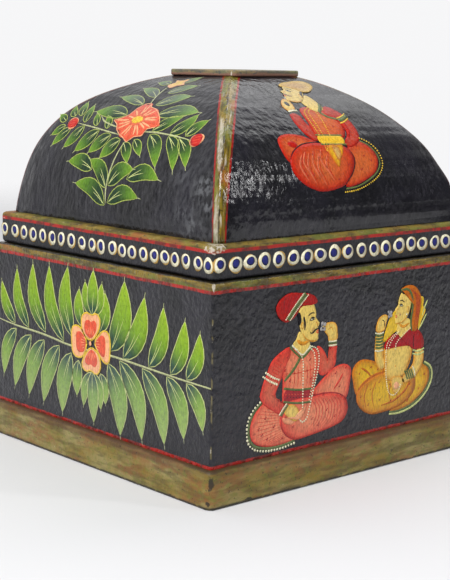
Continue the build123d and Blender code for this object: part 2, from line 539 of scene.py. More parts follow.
@dataclass(frozen=True)
class DomeFinish(Finish):
    """Curved black panels with red-edged olive bands up their ribs."""

    centre: Spot = (0.0, 0.0)
    name: str = "dome_lacquer"
    band: float = 5.0
    line: float = 1.3
    side_band: float = 1.0

    def write(self, r: Lacquer) -> None:
        """Lays the ground, the rib bands, the near rib's pale strip (worn, and partly a painted highlight
        on its lit side), the bloom with painted sheen beside it, and the long fibres.
        """
        r.read_place(TRUE_PLACE)
        east = r.x - self.centre[0]
        north = r.y - self.centre[1]
        squeeze = r.math("SQRT", 1 + r.normal[2] * r.normal[2])
        off_rib = abs(abs(north) - abs(east)) / squeeze + r.waver(1.1, 18, 3, seed=71)
        narrow = r.above(abs(north - east), 60, 50)
        edge = off_rib + (self.band - self.side_band) * narrow
        shown = 1 - 0.6 * narrow - 0.3 * r.above(east - north, 100, 60)
        along = r.join(north + east, r.z, north - east)
        near = r.above(0 - east - north, 120, 60)
        streaky = r.noise(2.4, 5, (0.14, 0.14, 1), 72, along)
        # the near rib's pale strip is partly worn paint and partly a painted highlight on the lit side of
        # the arris
        rubbed = r.below(off_rib, 4.0, 3.0) * r.above(streaky, 0.62, 0.12)
        bared_and_lit = r.between(r.z, 168, 196, 14) + r.between(r.z, 218, 244, 16)
        drift = north - east + r.waver(2.8, 6, 3, (1, 1, 0.5), seed=73)
        strip = r.between(drift, 0.8, 4.6, 1.4) * r.above(streaky + 0.2 * bared_and_lit, 0.6, 0.14)
        strip = strip * (0.45 + 0.55 * r.above(r.noise(1.8, 4, (1, 1, 0.5), seed=69), 0.5, 0.2))
        crack = r.between(north - east, -0.6, 0.7, 0.5) * r.above(r.noise(5, 3, seed=79), 0.5, 0.1)
        colour = r.coats(
            r.black(),
            (r.below(edge, self.band + self.line, 0.3) * shown, r.mix(0.35, r.red(), GROUND.red_thin)),
            (r.below(edge, self.band, 0.3), r.olive(along)),
            # pale strip up the near rib: partly worn ground, partly painted highlight
            (0.62 * near * rubbed.most(strip), GROUND.gesso),
            (0.8 * near * crack, GROUND.grime_and_shade),
            # bloom beside the near rib on the left panel: partly real, partly painted sheen
            (0.3 * self.bloom_and_sheen(r, off_rib, east, north) * r.below(r.z, 216, 30), GROUND.film))
        fibres = r.noise(5.2, 2, (1.2, 1.2, 0.6), seed=74)
        relief = 0.5 * fibres + 0.5 * r.noise(12, 2, (1, 1, 0.6), seed=75)
        roughness = 0.12 + 0.2 * r.noise(10, 4, seed=76)
        calm = 1 - 0.6 * r.above(east, 15, 70) * r.above(0 - north, 50, 40)
        r.surface(r.lined(colour), roughness, r.bump(relief * calm, 1.7))

    def bloom_and_sheen(self, r: Lacquer, off_rib: Wire, east: Wire, north: Wire) -> Wire:
        """The dull bloom of the varnish beside the near rib, partly real and partly a painted sheen.

        Args:
            r: The recipe being written.
            off_rib: Millimetres from the nearest rib.
            east: Millimetres east of the dome's middle.
            north: Millimetres north of it.

        Returns:
            1 where the bloom and painted sheen are strongest.
        """
        bloom = r.below(off_rib, 36, 44) * r.above(off_rib, 6, 3)
        bloom = bloom * (0.25 + 0.75 * r.above(r.noise(13, 3, seed=70), 0.5, 0.24))
        bloom = bloom * r.above(r.noise(3.4, 5, (1, 1, 0.7), seed=77), 0.5, 0.2)
        return bloom * r.above(0 - north, 30, 20) * r.above(north - east, 3, 2)


@dataclass(frozen=True)
class CapFinish(Finish):
    """Small olive cap, brown under its edge."""

    name: str = "cap_paint"
    middle: float = 276.2
    chip: Triple = (-31.5, -33.8, 276.6)

    def write(self, r: Lacquer) -> None:
        """Lays olive over umber, dirt, a grey painted sheen, and a bare chip on the near corner."""
        level = r.z + r.waver(1.5, 16, 3, seed=83)
        colour = r.coats(
            r.olive(),
            (r.below(level, self.middle, 1.2), GROUND.umber),
            (0.8 * r.above(r.noise(3.2, 3, seed=82), 0.64, 0.06), GROUND.grime_and_shade),
            # a grey painted sheen over the whole cap
            (0.2, GROUND.film),
            (0.85 * r.chip(self.chip, 1.3, 2.2, 84), GROUND.gesso))
        r.surface(colour, 0.5, r.bump(r.pulp(2.0, 81), 0.7))


@dataclass(frozen=True)
class LiningFinish(Finish):
    """Dark red lacquer of the inside, with a black underside."""

    name: str = "lining_lacquer"

    def write(self, r: Lacquer) -> None:
        """Lays the lining's clouds and the black underside."""
        colour = r.mix(r.below(r.z, 0.8, 0.6), r.lining(), r.black())
        r.surface(colour, 0.42, r.bump(r.pulp(2.2, 91), 0.6))


@dataclass(frozen=True)
class PigmentFinish(Finish):
    """The painted motifs: each stroke's own colour, streaked by the brush, under varnish."""

    name: str = "painted_pigment"
    wall: float = 124.8
    streak: Colour = (0.6, 0.6, 0.6, 1.0)

    def write(self, r: Lacquer) -> None:
        """Lays the strokes' colours with streaks and dirt, and a painted sheen for reflected light at the
        foot, strongest on the side walls, and at the crown.
        """
        pigment = r.attribute("pigment")
        streaks = r.above(r.noise(1.3, 4, (1, 1, 0.4), seed=95), 0.52, 0.2)
        thin = r.above(r.noise(2.2, 5, seed=96), 0.62, 0.1)
        # painted floor reflection over the strokes low on the walls, strongest on the side walls
        foot = r.below(r.z, 66, 60) * (0.08 + 0.24 * r.above(abs(r.x), self.wall, 0.3))
        colour = r.coats(
            pigment,
            (0.55 * streaks, r.mix(1.0, pigment, self.streak, "MULTIPLY")),
            (0.24 * thin, GROUND.black_thin_and_sheen),
            # painted sheen at the foot and at the crown
            (foot + 0.34 * r.above(r.z, 252, 24), GROUND.film))
        r.surface(colour, 0.4, r.bump(r.pulp(3.2), 1.7), 0.14)


@dataclass(frozen=True)
class FloorFinish(Finish):
    """Plain pale floor that fades out far from the box."""

    name: str = "studio_floor"
    tone: Colour = (0.70, 0.70, 0.71, 1.0)
    fade_start: float = 900.0
    fade_length: float = 1400.0

    def write(self, r: Lacquer) -> None:
        """Mixes a matt floor into nothing with distance."""
        radius = r.math("SQRT", r.x * r.x + r.y * r.y)
        gone = r.above(radius, self.fade_start + self.fade_length / 2, self.fade_length)
        matt = r.node("ShaderNodeBsdfDiffuse", inputs={"Color": self.tone})
        clear = r.node("ShaderNodeBsdfTransparent")
        both = r.node("ShaderNodeMixShader", inputs={0: gone, 1: r.wire(matt), 2: r.wire(clear)})
        r.node("ShaderNodeOutputMaterial", inputs={"Surface": r.wire(both)})


# ---------------------------------------- studio


def put(name: str, data: bpy.types.ID) -> bpy.types.Object:
    """Puts an object into the scene, alone selected.

    Args:
        name: Its name.
        data: The mesh, lamp or camera that it shows.

    Returns:
        The object.
    """
    made = bpy.data.objects.new(name, data)
    bpy.context.scene.collection.objects.link(made)
    bpy.ops.object.select_all(action="DESELECT")
    bpy.context.view_layer.objects.active = made
    made.select_set(True)
    return made


@dataclass
class Studio:
    """Pale floor, soft light and the camera."""

    camera_place: Triple = (-0.69975, -0.780125, 0.285875)
    yaw: float = -41.75
    pitch: float = 80.69
    roll: float = 0.91
    lens: float = 87.28
    film_height: float = 36.0
    floor_radius: float = 3.2
    floor_gap: float = 0.0004
    backdrop: Colour = (0.925, 0.925, 0.935, 1.0)
    bright: Colour = (0.82, 0.82, 0.83, 1.0)
    dim: Colour = (0.1, 0.1, 0.105, 1.0)

    def aim_camera(self) -> None:
        """Sets up the camera."""
        data = bpy.data.cameras.new("studio_camera")
        data.lens = self.lens
        data.sensor_fit = "VERTICAL"
        data.sensor_height = self.film_height
        data.clip_start = 0.05
        camera = put("studio_camera", data)
        turn = (Matrix.Rotation(math.radians(self.yaw), 4, "Z")
                @ Matrix.Rotation(math.radians(self.pitch), 4, "X")
                @ Matrix.Rotation(math.radians(self.roll), 4, "Z"))
        camera.matrix_world = Matrix.Translation(self.camera_place) @ turn
        bpy.context.scene.camera = camera

    def lay_floor(self) -> None:
        """Lays the round floor just under the box."""
        bpy.ops.mesh.primitive_circle_add(vertices=96, radius=self.floor_radius,
                                          fill_type="TRIFAN", location=(0, 0, 0))
        floor = bpy.context.object
        floor.name = "studio_floor"
        floor.data.transform(Matrix.Translation((0, 0, -self.floor_gap)))
        floor.data.materials.append(FloorFinish().make())

    def hang_lamp(self, name: str, place: Sequence[float], size: Spot, power: float,
                  aim: Sequence[float] = (0, 0, 0.12)) -> None:
        """Hangs a soft lamp.

        Args:
            name: The lamp's name.
            place: Where it hangs, in metres.
            size: Its width and height, in metres.
            power: Its power in watts.
            aim: The point it faces.
        """
        data = bpy.data.lights.new(name, "AREA")
        data.shape = "RECTANGLE"
        data.size, data.size_y = size
        data.energy = power
        towards = (Vector(aim) - Vector(place)).to_track_quat("-Z", "Y")
        put(name, data).matrix_world = Matrix.Translation(place) @ towards.to_matrix().to_4x4()

    def light_room(self) -> None:
        """Lights the room: white behind the box, dim behind the camera."""
        world = bpy.data.worlds.new("studio_room")
        world.use_nodes = True
        bpy.context.scene.world = world
        r = Recipe(world.node_tree)
        east, north, up = r.split(r.direction)
        lit = r.above(0.25 * east + 0.95 * north + 0.15 * up, 0.2, 1.0)
        seen = r.wire(r.node("ShaderNodeLightPath"), "Is Camera Ray")
        tone = r.coats(self.dim, (lit, self.bright), (seen, self.backdrop))
        room = r.node("ShaderNodeBackground", inputs={"Color": tone})
        r.node("ShaderNodeOutputWorld", inputs={"Surface": r.wire(room)})
        self.hang_lamp("key_lamp", (-1.58, -0.8, 1.9), (1.2, 1.2), 66)
        self.hang_lamp("top_lamp", (1.2, 0.45, 1.95), (1.5, 1.5), 9)
        self.hang_lamp("side_lamp", (0.76, -1.29, 0.86), (0.12, 0.5), 4.5)

    def build(self) -> None:
        """Builds the whole studio."""
        self.aim_camera()
        self.lay_floor()
        self.light_room()
        bpy.context.scene.view_settings.view_transform = "Standard"


# ---------------------------------------- brushwork


@dataclass(frozen=True)
class Stencil:
    """A flat master shape that strokes are copied from."""

    points: np.ndarray
    faces: list[tuple[int, ...]]


class Stencils:
    """The flat master shapes, each modelled once with Blender's own tools."""

    def __init__(self) -> None:
        """Models the ribbons, the blade and the discs."""
        self.thread = self.grid(8, 1)
        self.ribbon = self.grid(20, 1)
        self.blade = self.grid(12, 4)
        self.limb = self.grid(12, 6)
        self.bead = self.disc(8, 0)
        self.dot = self.disc(20, 1)
        self.cloth = self.disc(44, 6)

    @staticmethod
    def read(master: bpy.types.Object) -> Stencil:
        """Keeps a master's shape and removes the object."""
        points = np.array([vertex.co[:2] for vertex in master.data.vertices])
        faces = [tuple(face.vertices) for face in master.data.polygons]
        bpy.data.objects.remove(master)
        return Stencil(points, faces)

    def grid(self, along: int, across: int) -> Stencil:
        """A strip of squares, from 0 to 1 along and -1 to 1 across.

        Args:
            along: Squares along the strip.
            across: Squares across it.

        Returns:
            The strip.
        """
        bpy.ops.mesh.primitive_grid_add(x_subdivisions=along, y_subdivisions=across, size=1)
        flat = self.read(bpy.context.object)
        return Stencil(flat.points * (1, 2) + (0.5, 0), flat.faces)

    def disc(self, around: int, rings: int) -> Stencil:
        """A disc of radius 1, inset into rings about a middle point.

        Args:
            around: Corners of its edge.
            rings: Insets between the edge and the middle.

        Returns:
            The disc.
        """
        bpy.ops.mesh.primitive_circle_add(vertices=around, radius=1, fill_type="NGON")
        bpy.ops.object.mode_set(mode="EDIT")
        bpy.ops.mesh.select_all(action="SELECT")
        for _ in range(rings):
            bpy.ops.mesh.inset(thickness=1 / (rings + 1))
        bpy.ops.mesh.poke()
        bpy.ops.object.mode_set(mode="OBJECT")
        return self.read(bpy.context.object)


def lengths(path: np.ndarray) -> np.ndarray:
    """The distance along a path at each of its points."""
    return np.concatenate([[0.0], np.cumsum(np.linalg.norm(np.diff(path, axis=0), axis=1))])


class Line:
    """A smooth line through a few spots, measured by its length."""

    def __init__(self, spots: Path, closed: bool = False) -> None:
        """Rounds the line through its spots.

        Args:
            spots: The spots that it passes.
            closed: Whether it comes back to the first.
        """
        through = [np.array(spot, float) for spot in spots]
        if closed:
            through = [through[-1], *through, through[0], through[1]]
        else:
            through = [2 * through[0] - through[1], *through, 2 * through[-1] - through[-2]]
        path = [through[1]]
        for first in range(len(through) - 3):
            path.extend(self.span(*through[first:first + 4]))
        self.path = np.array(path)
        self.reach = lengths(self.path)
        self.length = float(self.reach[-1])

    @staticmethod
    def span(before: np.ndarray, start: np.ndarray, end: np.ndarray, after: np.ndarray,
             pieces: int = 10) -> list[np.ndarray]:
        """The rounded stretch between two spots, which heeds the spots before and after it."""
        knots = [0.0]
        for here, there in ((before, start), (start, end), (end, after)):
            knots.append(knots[-1] + max(float(np.linalg.norm(there - here)) ** 0.5, 1e-6))
        leave = (end - before) / (knots[2] - knots[0])
        arrive = (after - start) / (knots[3] - knots[1])
        width = knots[2] - knots[1]
        found = []
        for step in range(1, pieces + 1):
            t = step / pieces
            found.append((2 * t**3 - 3 * t**2 + 1) * start + (t**3 - 2 * t**2 + t) * width * leave
                         + (3 * t**2 - 2 * t**3) * end + (t**3 - t**2) * width * arrive)
        return found

    def at(self, share: np.ndarray) -> np.ndarray:
        """Spots at shares of the line's length; past its ends it runs on straight."""
        reach = np.asarray(share, float) * self.length
        spots = np.stack([np.interp(reach, self.reach, self.path[:, i]) for i in (0, 1)], 1)
        for past, here, there in ((reach < 0, 1, 0), (reach > self.length, -2, -1)):
            way = self.path[there] - self.path[here]
            way = way / max(float(np.linalg.norm(way)), 1e-9)
            over = np.abs(reach - (0 if there == 0 else self.length))
            spots = np.where(past[:, None], self.path[there] + over[:, None] * way, spots)
        return spots

    def left(self, share: np.ndarray) -> np.ndarray:
        """Unit steps to the left of the line at shares of its length."""
        share = np.asarray(share, float)
        way = self.at(np.minimum(share + 0.01, 1)) - self.at(np.maximum(share - 0.01, 0))
        way = way / np.maximum(np.linalg.norm(way, axis=1, keepdims=True), 1e-9)
        return np.stack([-way[:, 1], way[:, 0]], 1)

    def beside(self, share: np.ndarray, off: np.ndarray) -> np.ndarray:
        """Spots at shares of the line's length and distances to its left."""
        return self.at(share) + self.left(share) * off[:, None]


@dataclass(frozen=True)
class HandShape:
    """How the hand-pressed dome strays from a true one between its foot and its crown."""

    foot: float = 170.3
    rise: float = 103.8
    half: float = 115.0
    centre: Spot = (1.4, -1.4)
    fullest: float = 1.57
    sway: Triple = (1.12, 1.05, 0.85)
    tip: float = -6.0
    flare: float = 2.0
    bulge: float = 4.4
    bulge_place: Spot = (0.31, 0.12)
    puff: float = 3.4
    shoulder: float = 24.0
    lump: float = 0.13
    lump_sizes: Spot = (35, 80)
    lump_count: int = 10
    lump_seed: int = 11
    blister: Triple = (-74.0, 32.0, 21.0)
    blister_height: float = 1.5
    blister_edge: float = 8.0

    def lumps(self, places: np.ndarray) -> np.ndarray:
        """Slow waves of the paper at rows of places."""
        hand = np.random.default_rng(self.lump_seed)
        out = np.zeros(len(places))
        for _ in range(self.lump_count):
            wave = hand.normal(size=3)
            wave = wave / np.linalg.norm(wave) / hand.uniform(*self.lump_sizes)
            out += self.lump * np.sin(2 * np.pi * (places @ wave + hand.uniform()))
        return out

    def bend(self, spots: np.ndarray) -> np.ndarray:
        """Moves spots of the true dome to where the hand left them.

        Args:
            spots: Rows of x, y and z in metres.

        Returns:
            The moved rows.
        """
        places = spots / MM - (*self.centre, self.foot)
        east, north, up = places.T
        share = np.clip(up / self.rise, 0, 1)
        swell = np.sin(np.pi * share ** self.fullest)
        across = (east - north) / (2 * self.half)
        sideways = swell * np.polyval(self.sway, across)
        middle, spread = self.bulge_place
        low = np.clip(across, 0, 1) ** 8 * np.exp(-((share - middle) / spread) ** 2)
        sideways = sideways + self.flare * across * (1 - share) ** 6 + self.bulge * low
        sideways = sideways / math.sqrt(2)
        out = self.lumps(places) * np.minimum(1, 3 * swell)
        wide = np.maximum(np.abs(east), np.abs(north))
        narrow = np.minimum(np.abs(east), np.abs(north))
        puff = self.puff * np.sin(np.pi * share) ** 0.8
        puff = puff * (1 - np.exp((narrow - wide) / self.shoulder))
        east_place, up_place, reach = self.blister
        away = ((east - east_place) ** 2 + (up - up_place) ** 2) / (2 * reach**2)
        inside = (north < 0) * (1 - np.exp((narrow - wide) / self.blister_edge))
        puff = puff + self.blister_height * np.exp(-away) * inside * (wide > np.abs(east))
        faces_east = np.abs(east) > np.abs(north)
        away = out / np.maximum(np.hypot(east, north), 1)
        moves = np.column_stack([
            sideways + away * east + puff * np.sign(east) * faces_east,
            away * north - sideways + puff * np.sign(north) * ~faces_east,
            self.tip * swell * across + 0.5 * out])
        return spots + MM * moves


@dataclass(frozen=True)
class Canvas:
    """A face of the box that can be painted, with spots measured across and up it."""

    side: Side
    body: str
    rail: np.ndarray
    shape: Optional[HandShape] = None

    def wrap(self, flat: np.ndarray, lift: np.ndarray) -> np.ndarray:
        """Puts flat spots on the face.

        Args:
            flat: Rows of distance across and up the face.
            lift: How far each stands off the face.

        Returns:
            Rows of x, y and z in metres.
        """
        up, half, height = self.rail.T
        slope = np.gradient(self.rail[:, 1:], up, axis=0)
        outward = np.interp(flat[:, 1], up, slope[:, 1])
        upward = np.interp(flat[:, 1], up, -slope[:, 0])
        east = flat[:, 0]
        north = -(np.interp(flat[:, 1], up, half) + lift * outward)
        level = np.interp(flat[:, 1], up, height) + lift * upward
        turn = math.radians(self.side.value)
        centre = self.shape.centre if self.shape else (0.0, 0.0)
        spots = MM * np.stack([
            east * math.cos(turn) - north * math.sin(turn) + centre[0],
            east * math.sin(turn) + north * math.cos(turn) + centre[1],
            level], 1)
        return self.shape.bend(spots) if self.shape else spots


def upright_canvas(side: Side, prefix: str, body: str) -> Canvas:
    """The upright face of a board.

    Args:
        side: Which side.
        prefix: Start of the board's node name.
        body: The body that it rides on.

    Returns:
        The canvas, with heights as the distance up.
    """
    low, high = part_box(f"{prefix}_{side.label}")
    half = max(abs(v) for v in (low.x, low.y, high.x, high.y)) / MM
    return Canvas(side, body, np.array([(z, half, z) for z in (low.z / MM, high.z / MM)]))


def dome_canvas(side: Side, shape: HandShape) -> Canvas:
    """The curved outer face of a lid panel, read from the panel itself.

    Args:
        side: Which side.
        shape: How the dome is bent.

    Returns:
        The canvas, with the distance up measured round the curve.
    """
    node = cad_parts[f"dome_panel_{side.label}"]
    back = Matrix.Rotation(math.radians(-side.value), 3, "Z")
    shift = Vector((*shape.centre, 0))
    seen = {(round(-(back @ (v.co / MM - shift)).y, 3), round(v.co.z / MM, 3))
            for v in node.data.vertices}
    hull: list[Spot] = []
    for spot in sorted(seen, key=lambda s: (s[1], -s[0])):
        while len(hull) > 1 and turns_in(hull[-2], hull[-1], spot):
            hull.pop()
        hull.append(spot)
    outline = np.array([s for s in hull if s[1] > hull[0][1] or s is hull[0]])
    return Canvas(side, "lid", np.column_stack([lengths(outline), outline]), shape)


def turns_in(first: Spot, middle: Spot, last: Spot) -> bool:
    """True where the middle spot lies inside the straight line past it."""
    return ((middle[0] - first[0]) * (last[1] - first[1])
            <= (middle[1] - first[1]) * (last[0] - first[0]))


def tint(stops: Sequence[tuple[float, Ink]], share: np.ndarray) -> np.ndarray:
    """Rows of linear colour at some shares, shaded between inks that are pure at their own."""
    marks = [mark for mark, _ in stops]
    return np.stack([np.interp(share, marks, [ink.value[i] for _, ink in stops])
                     for i in range(3)], 1)


@dataclass
class Painting:
    """Strokes laid on one face, which become one thin raised coat of paint."""

    name: str
    canvas: Canvas
    stencils: Stencils
    seed: int
    coat: float = 0.3
    first_lift: float = 0.07
    layer_lift: float = 0.03

    def __post_init__(self) -> None:
        """Starts empty, with its own small accidents, and mirrored on the two far sides."""
        self.hand = random.Random(self.seed)
        self.mirror = (-1, 1) if self.canvas.side in (Side.RIGHT, Side.BACK) else (1, 1)
        self.points: list[np.ndarray] = []
        self.lifts: list[np.ndarray] = []
        self.colours: list[np.ndarray] = []
        self.faces: list[tuple[int, ...]] = []
        self.count = 0

    def lay(self, stencil: Stencil, flat: np.ndarray, colours: np.ndarray, layer: float,
            swell: Union[float, np.ndarray] = 0.0) -> None:
        """Adds one stroke.

        Args:
            stencil: The master whose faces it has.
            flat: Its spots on the face.
            colours: A colour for each spot.
            layer: How many coats lie beneath it.
            swell: Extra height of each spot.
        """
        flat = flat * self.mirror
        area = sum(flat[a, 0] * flat[b, 1] - flat[b, 0] * flat[a, 1]
                   for face in stencil.faces for a, b in zip(face, face[1:] + face[:1]))
        for face in stencil.faces:
            turned = face if area > 0 else tuple(reversed(face))
            self.faces.append(tuple(self.count + corner for corner in turned))
        self.lifts.append(np.full(len(flat), self.first_lift + layer * self.layer_lift) + swell)
        self.points.append(flat)
        self.colours.append(colours)
        self.count += len(flat)

    def finish(self, material: bpy.types.Material, slot: str) -> None:
        """Makes the painting a closed coat on its face.

        Args:
            material: The pigment's finish.
            slot: The record's slot that it belongs to; not used.
        """
        spots = self.canvas.wrap(np.vstack(self.points), np.concatenate(self.lifts))
        mesh = bpy.data.meshes.new(self.name)
        mesh.from_pydata(spots.tolist(), [], self.faces)
        colours = np.hstack([np.vstack(self.colours), np.ones((self.count, 1))])
        layer = mesh.color_attributes.new("pigment", "FLOAT_COLOR", "POINT")
        layer.data.foreach_set("color", colours.ravel())
        mesh.materials.append(material)
        piece = put(self.name, mesh)
        bpy.ops.object.shade_smooth()
        shell = piece.modifiers.new("coat", "SOLIDIFY")
        shell.thickness = self.coat * MM
        shell.offset = -1
        bpy.ops.object.modifier_apply(modifier=shell.name)
        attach(piece, self.canvas.body)
        log.info("%s painted on %s with %d faces", self.name, self.canvas.body,
                 len(piece.data.polygons))


# ---------------------------------------- marks


class Motif:
    """Something that can be painted: a mark of the brush, or a picture made of marks."""

    def marks(self) -> Iterator["Motif"]:
        """What it is made of, from the back to the front."""
        raise NotImplementedError

    def paint(self, painting: Painting) -> None:
        """Paints its marks in order."""
        for mark in self.marks():
            mark.paint(painting)


Marks = Iterator[Motif]


@dataclass(frozen=True)
class Stroke(Motif):
    """A line of paint, its ends given as shares of its full width.

    Its layer, like any mark's, says how many coats lie beneath it.
    """

    spots: Path
    width: float
    ink: Ink
    layer: float = 4
    start: float = 0.35
    end: float = 0.35
    closed: bool = False
    fine: bool = True

    def paint(self, painting: Painting) -> None:
        """Lays the line, in as many pieces as a long line needs if it is fine."""
        line = Line(self.spots, self.closed)
        stencil = painting.stencils.ribbon if self.fine else painting.stencils.thread
        share, across = stencil.points.T
        taper = np.minimum(self.start + (1 - self.start) * share / 0.15,
                           self.end + (1 - self.end) * (1 - share) / 0.3)
        taper = np.ones_like(share) if self.closed else np.clip(taper, 0, 1)
        flat = line.beside(share, across * taper * self.width / 2)
        painting.lay(stencil, flat, tint([(0, self.ink)], share), self.layer)


@dataclass(frozen=True)
class Thread(Stroke):
    """A short line that needs few pieces."""

    fine: bool = False


@dataclass(frozen=True)
class Cloth(Motif):
    """A filled shape that deepens towards its edge; the more bloom, the nearer the edge."""

    outline: Path
    core: Ink
    edge: Ink
    layer: float
    centre: Optional[Spot] = None
    bloom: float = 2.2

    def paint(self, painting: Painting) -> None:
        """Fills the shape from its centre, or from the mean of its edge."""
        ring = Line(self.outline, closed=True)
        stencil = painting.stencils.cloth
        radius = np.linalg.norm(stencil.points, axis=1)
        turn = np.arctan2(stencil.points[:, 1], stencil.points[:, 0]) / (2 * math.pi) % 1
        middle = np.mean(ring.path, axis=0) if self.centre is None else np.array(self.centre)
        radius = radius / radius.max()
        flat = middle + radius[:, None] * (ring.at(turn) - middle)
        painting.lay(stencil, flat, tint([(0, self.core), (1, self.edge)], radius**self.bloom),
                     self.layer)


@dataclass(frozen=True)
class Limb(Motif):
    """A sleeve, arm or sash: a band with rounded ends and its own evenly spaced widths."""

    spots: Path
    widths: Sequence[float]
    core: Ink
    edge: Ink
    layer: float

    def paint(self, painting: Painting) -> None:
        """Lays the band."""
        share, across = painting.stencils.limb.points.T
        wide = np.interp(share, np.linspace(0, 1, len(self.widths)), self.widths) / 2
        blunt = np.sqrt(np.clip(1 - np.clip((np.abs(2 * share - 1) - 0.86) / 0.14, 0, 1) ** 2,
                                0.1, 1))
        flat = Line(self.spots).beside(share, across * wide * blunt)
        painting.lay(painting.stencils.limb, flat,
                     tint([(0, self.core), (1, self.edge)], np.abs(across) ** 1.8), self.layer)


@dataclass(frozen=True)
class Dot(Motif):
    """A round touch of the brush, never quite true."""

    centre: Spot
    across: float
    up: float
    ink: Ink
    layer: float
    wobble: float = 0.06

    def paint(self, painting: Painting) -> None:
        """Lays the touch, leaning its own way."""
        points = painting.stencils.dot.points
        turn = np.arctan2(points[:, 1], points[:, 0])
        lean = painting.hand.uniform(0, 2 * math.pi)
        worn = 1 + self.wobble * (np.sin(2 * turn + lean) + 0.6 * np.sin(3 * turn - 2 * lean))
        flat = np.array(self.centre) + points * (self.across / 2, self.up / 2) * worn[:, None]
        painting.lay(painting.stencils.dot, flat, tint([(0, self.ink)], turn), self.layer)


@dataclass(frozen=True)
class Bead(Motif):
    """A tiny raised bead of paint."""

    centre: Spot
    size: float
    ink: Ink
    layer: float
    height: float = 0.22

    def paint(self, painting: Painting) -> None:
        """Lays the bead."""
        points = painting.stencils.bead.points
        middle = 1 - np.linalg.norm(points, axis=1)
        flat = np.array(self.centre) + points * (self.size / 2)
        painting.lay(painting.stencils.bead, flat, tint([(0, self.ink)], middle), self.layer,
                     self.height * middle)


@dataclass(frozen=True)
class Pearls(Motif):
    """A string of beads along a line."""

    spots: Path
    gap: float
    size: float
    ink: Ink = Ink.PEARL
    layer: float = 9

    def paint(self, painting: Painting) -> None:
        """Lays the beads, no two of a size."""
        line = Line(self.spots)
        number = max(int(line.length / self.gap), 2)
        for spot in line.at(np.linspace(0, 1, number)):
            size = self.size * painting.hand.uniform(0.85, 1.15)
            Bead(tuple(spot), size, self.ink, self.layer).paint(painting)


@dataclass(frozen=True)
class Specks(Motif):
    """Small dots in pairs, as on printed cloth."""

    spots: Path
    size: float
    ink: Ink = Ink.CRIMSON
    layer: float = 9

    def marks(self) -> Marks:
        """The pairs, the second dot of each the smaller."""
        for x, y in self.spots:
            yield Bead((x, y), self.size, self.ink, self.layer, 0.02)
            yield Bead((x + 0.7 * self.size, y + 0.8 * self.size), 0.7 * self.size, self.ink,
                       self.layer, 0.02)


# ---------------------------------------- leaves and flowers


class LeafTone(Enum):
    """How a leaf is shaded from its root to its tip, and the colour of its rim."""

    WALL = (((0.0, Ink.LEAF_ROOT), (0.16, Ink.LEAF_ROOT), (0.46, Ink.LEAF_BODY),
             (1.0, Ink.LEAF_TIP)), Ink.LEAF_LINE)
    DOME = (((0.0, Ink.LEAF_DEEP), (0.35, Ink.LEAF_DEEP), (0.72, Ink.LEAF_OLIVE),
             (1.0, Ink.LEAF_BODY)), Ink.LEAF_RIM)


@dataclass(frozen=True)
class Leaf(Motif):
    """A leaf with a shaded body, pale rims and veins, and a hair-thin tip.

    Its shape is a row: root across and up, tip across and up, width, and how far it bows.
    """

    shape: tuple[float, ...]
    tone: LeafTone
    layer: float = 1
    veins: int = 1
    hair: float = 0.06

    def half(self, share: np.ndarray) -> np.ndarray:
        """Half the leaf's width along it."""
        belly = share**0.72 * (1 - share) ** 0.98
        return self.shape[4] / 2 * belly / 0.3116

    def paint(self, painting: Painting) -> None:
        """Lays the body, both rims, the hair at the tip and the veins."""
        shades, rim = self.tone.value
        root, tip = np.array(self.shape[:2]), np.array(self.shape[2:4])
        chord = tip - root
        aside = np.array([-chord[1], chord[0]]) / np.linalg.norm(chord)
        spine = Line([root, root + 0.5 * chord + self.shape[5] * aside, tip])
        blade = painting.stencils.blade
        share, across = blade.points.T
        painting.lay(blade, spine.beside(share, across * self.half(share)), tint(shades, share),
                     self.layer)
        along = np.linspace(0, 1, 9)
        lines = [(spine.beside(along, hand * self.half(along)), 0.62, rim, 0.8, 0.5)
                 for hand in (-1, 1)]
        lines.append((spine.at(np.array([0.97, 1 + self.hair])), 0.5, Ink.STEM, 0.8, 0.2))
        for vein in range(self.veins):
            reach = np.array([0.03, 0.25, 0.52 - 0.08 * vein])
            off = np.array([0.0, 0.12, 0.22]) * self.half(reach) * (2 * vein - 0.6)
            lines.append((spine.beside(reach, off), 0.5, Ink.LEAF_LINE, 0.6, 0.15))
        for spots, width, ink, start, end in lines:
            Thread(spots, width, ink, self.layer + 1, start, end).paint(painting)


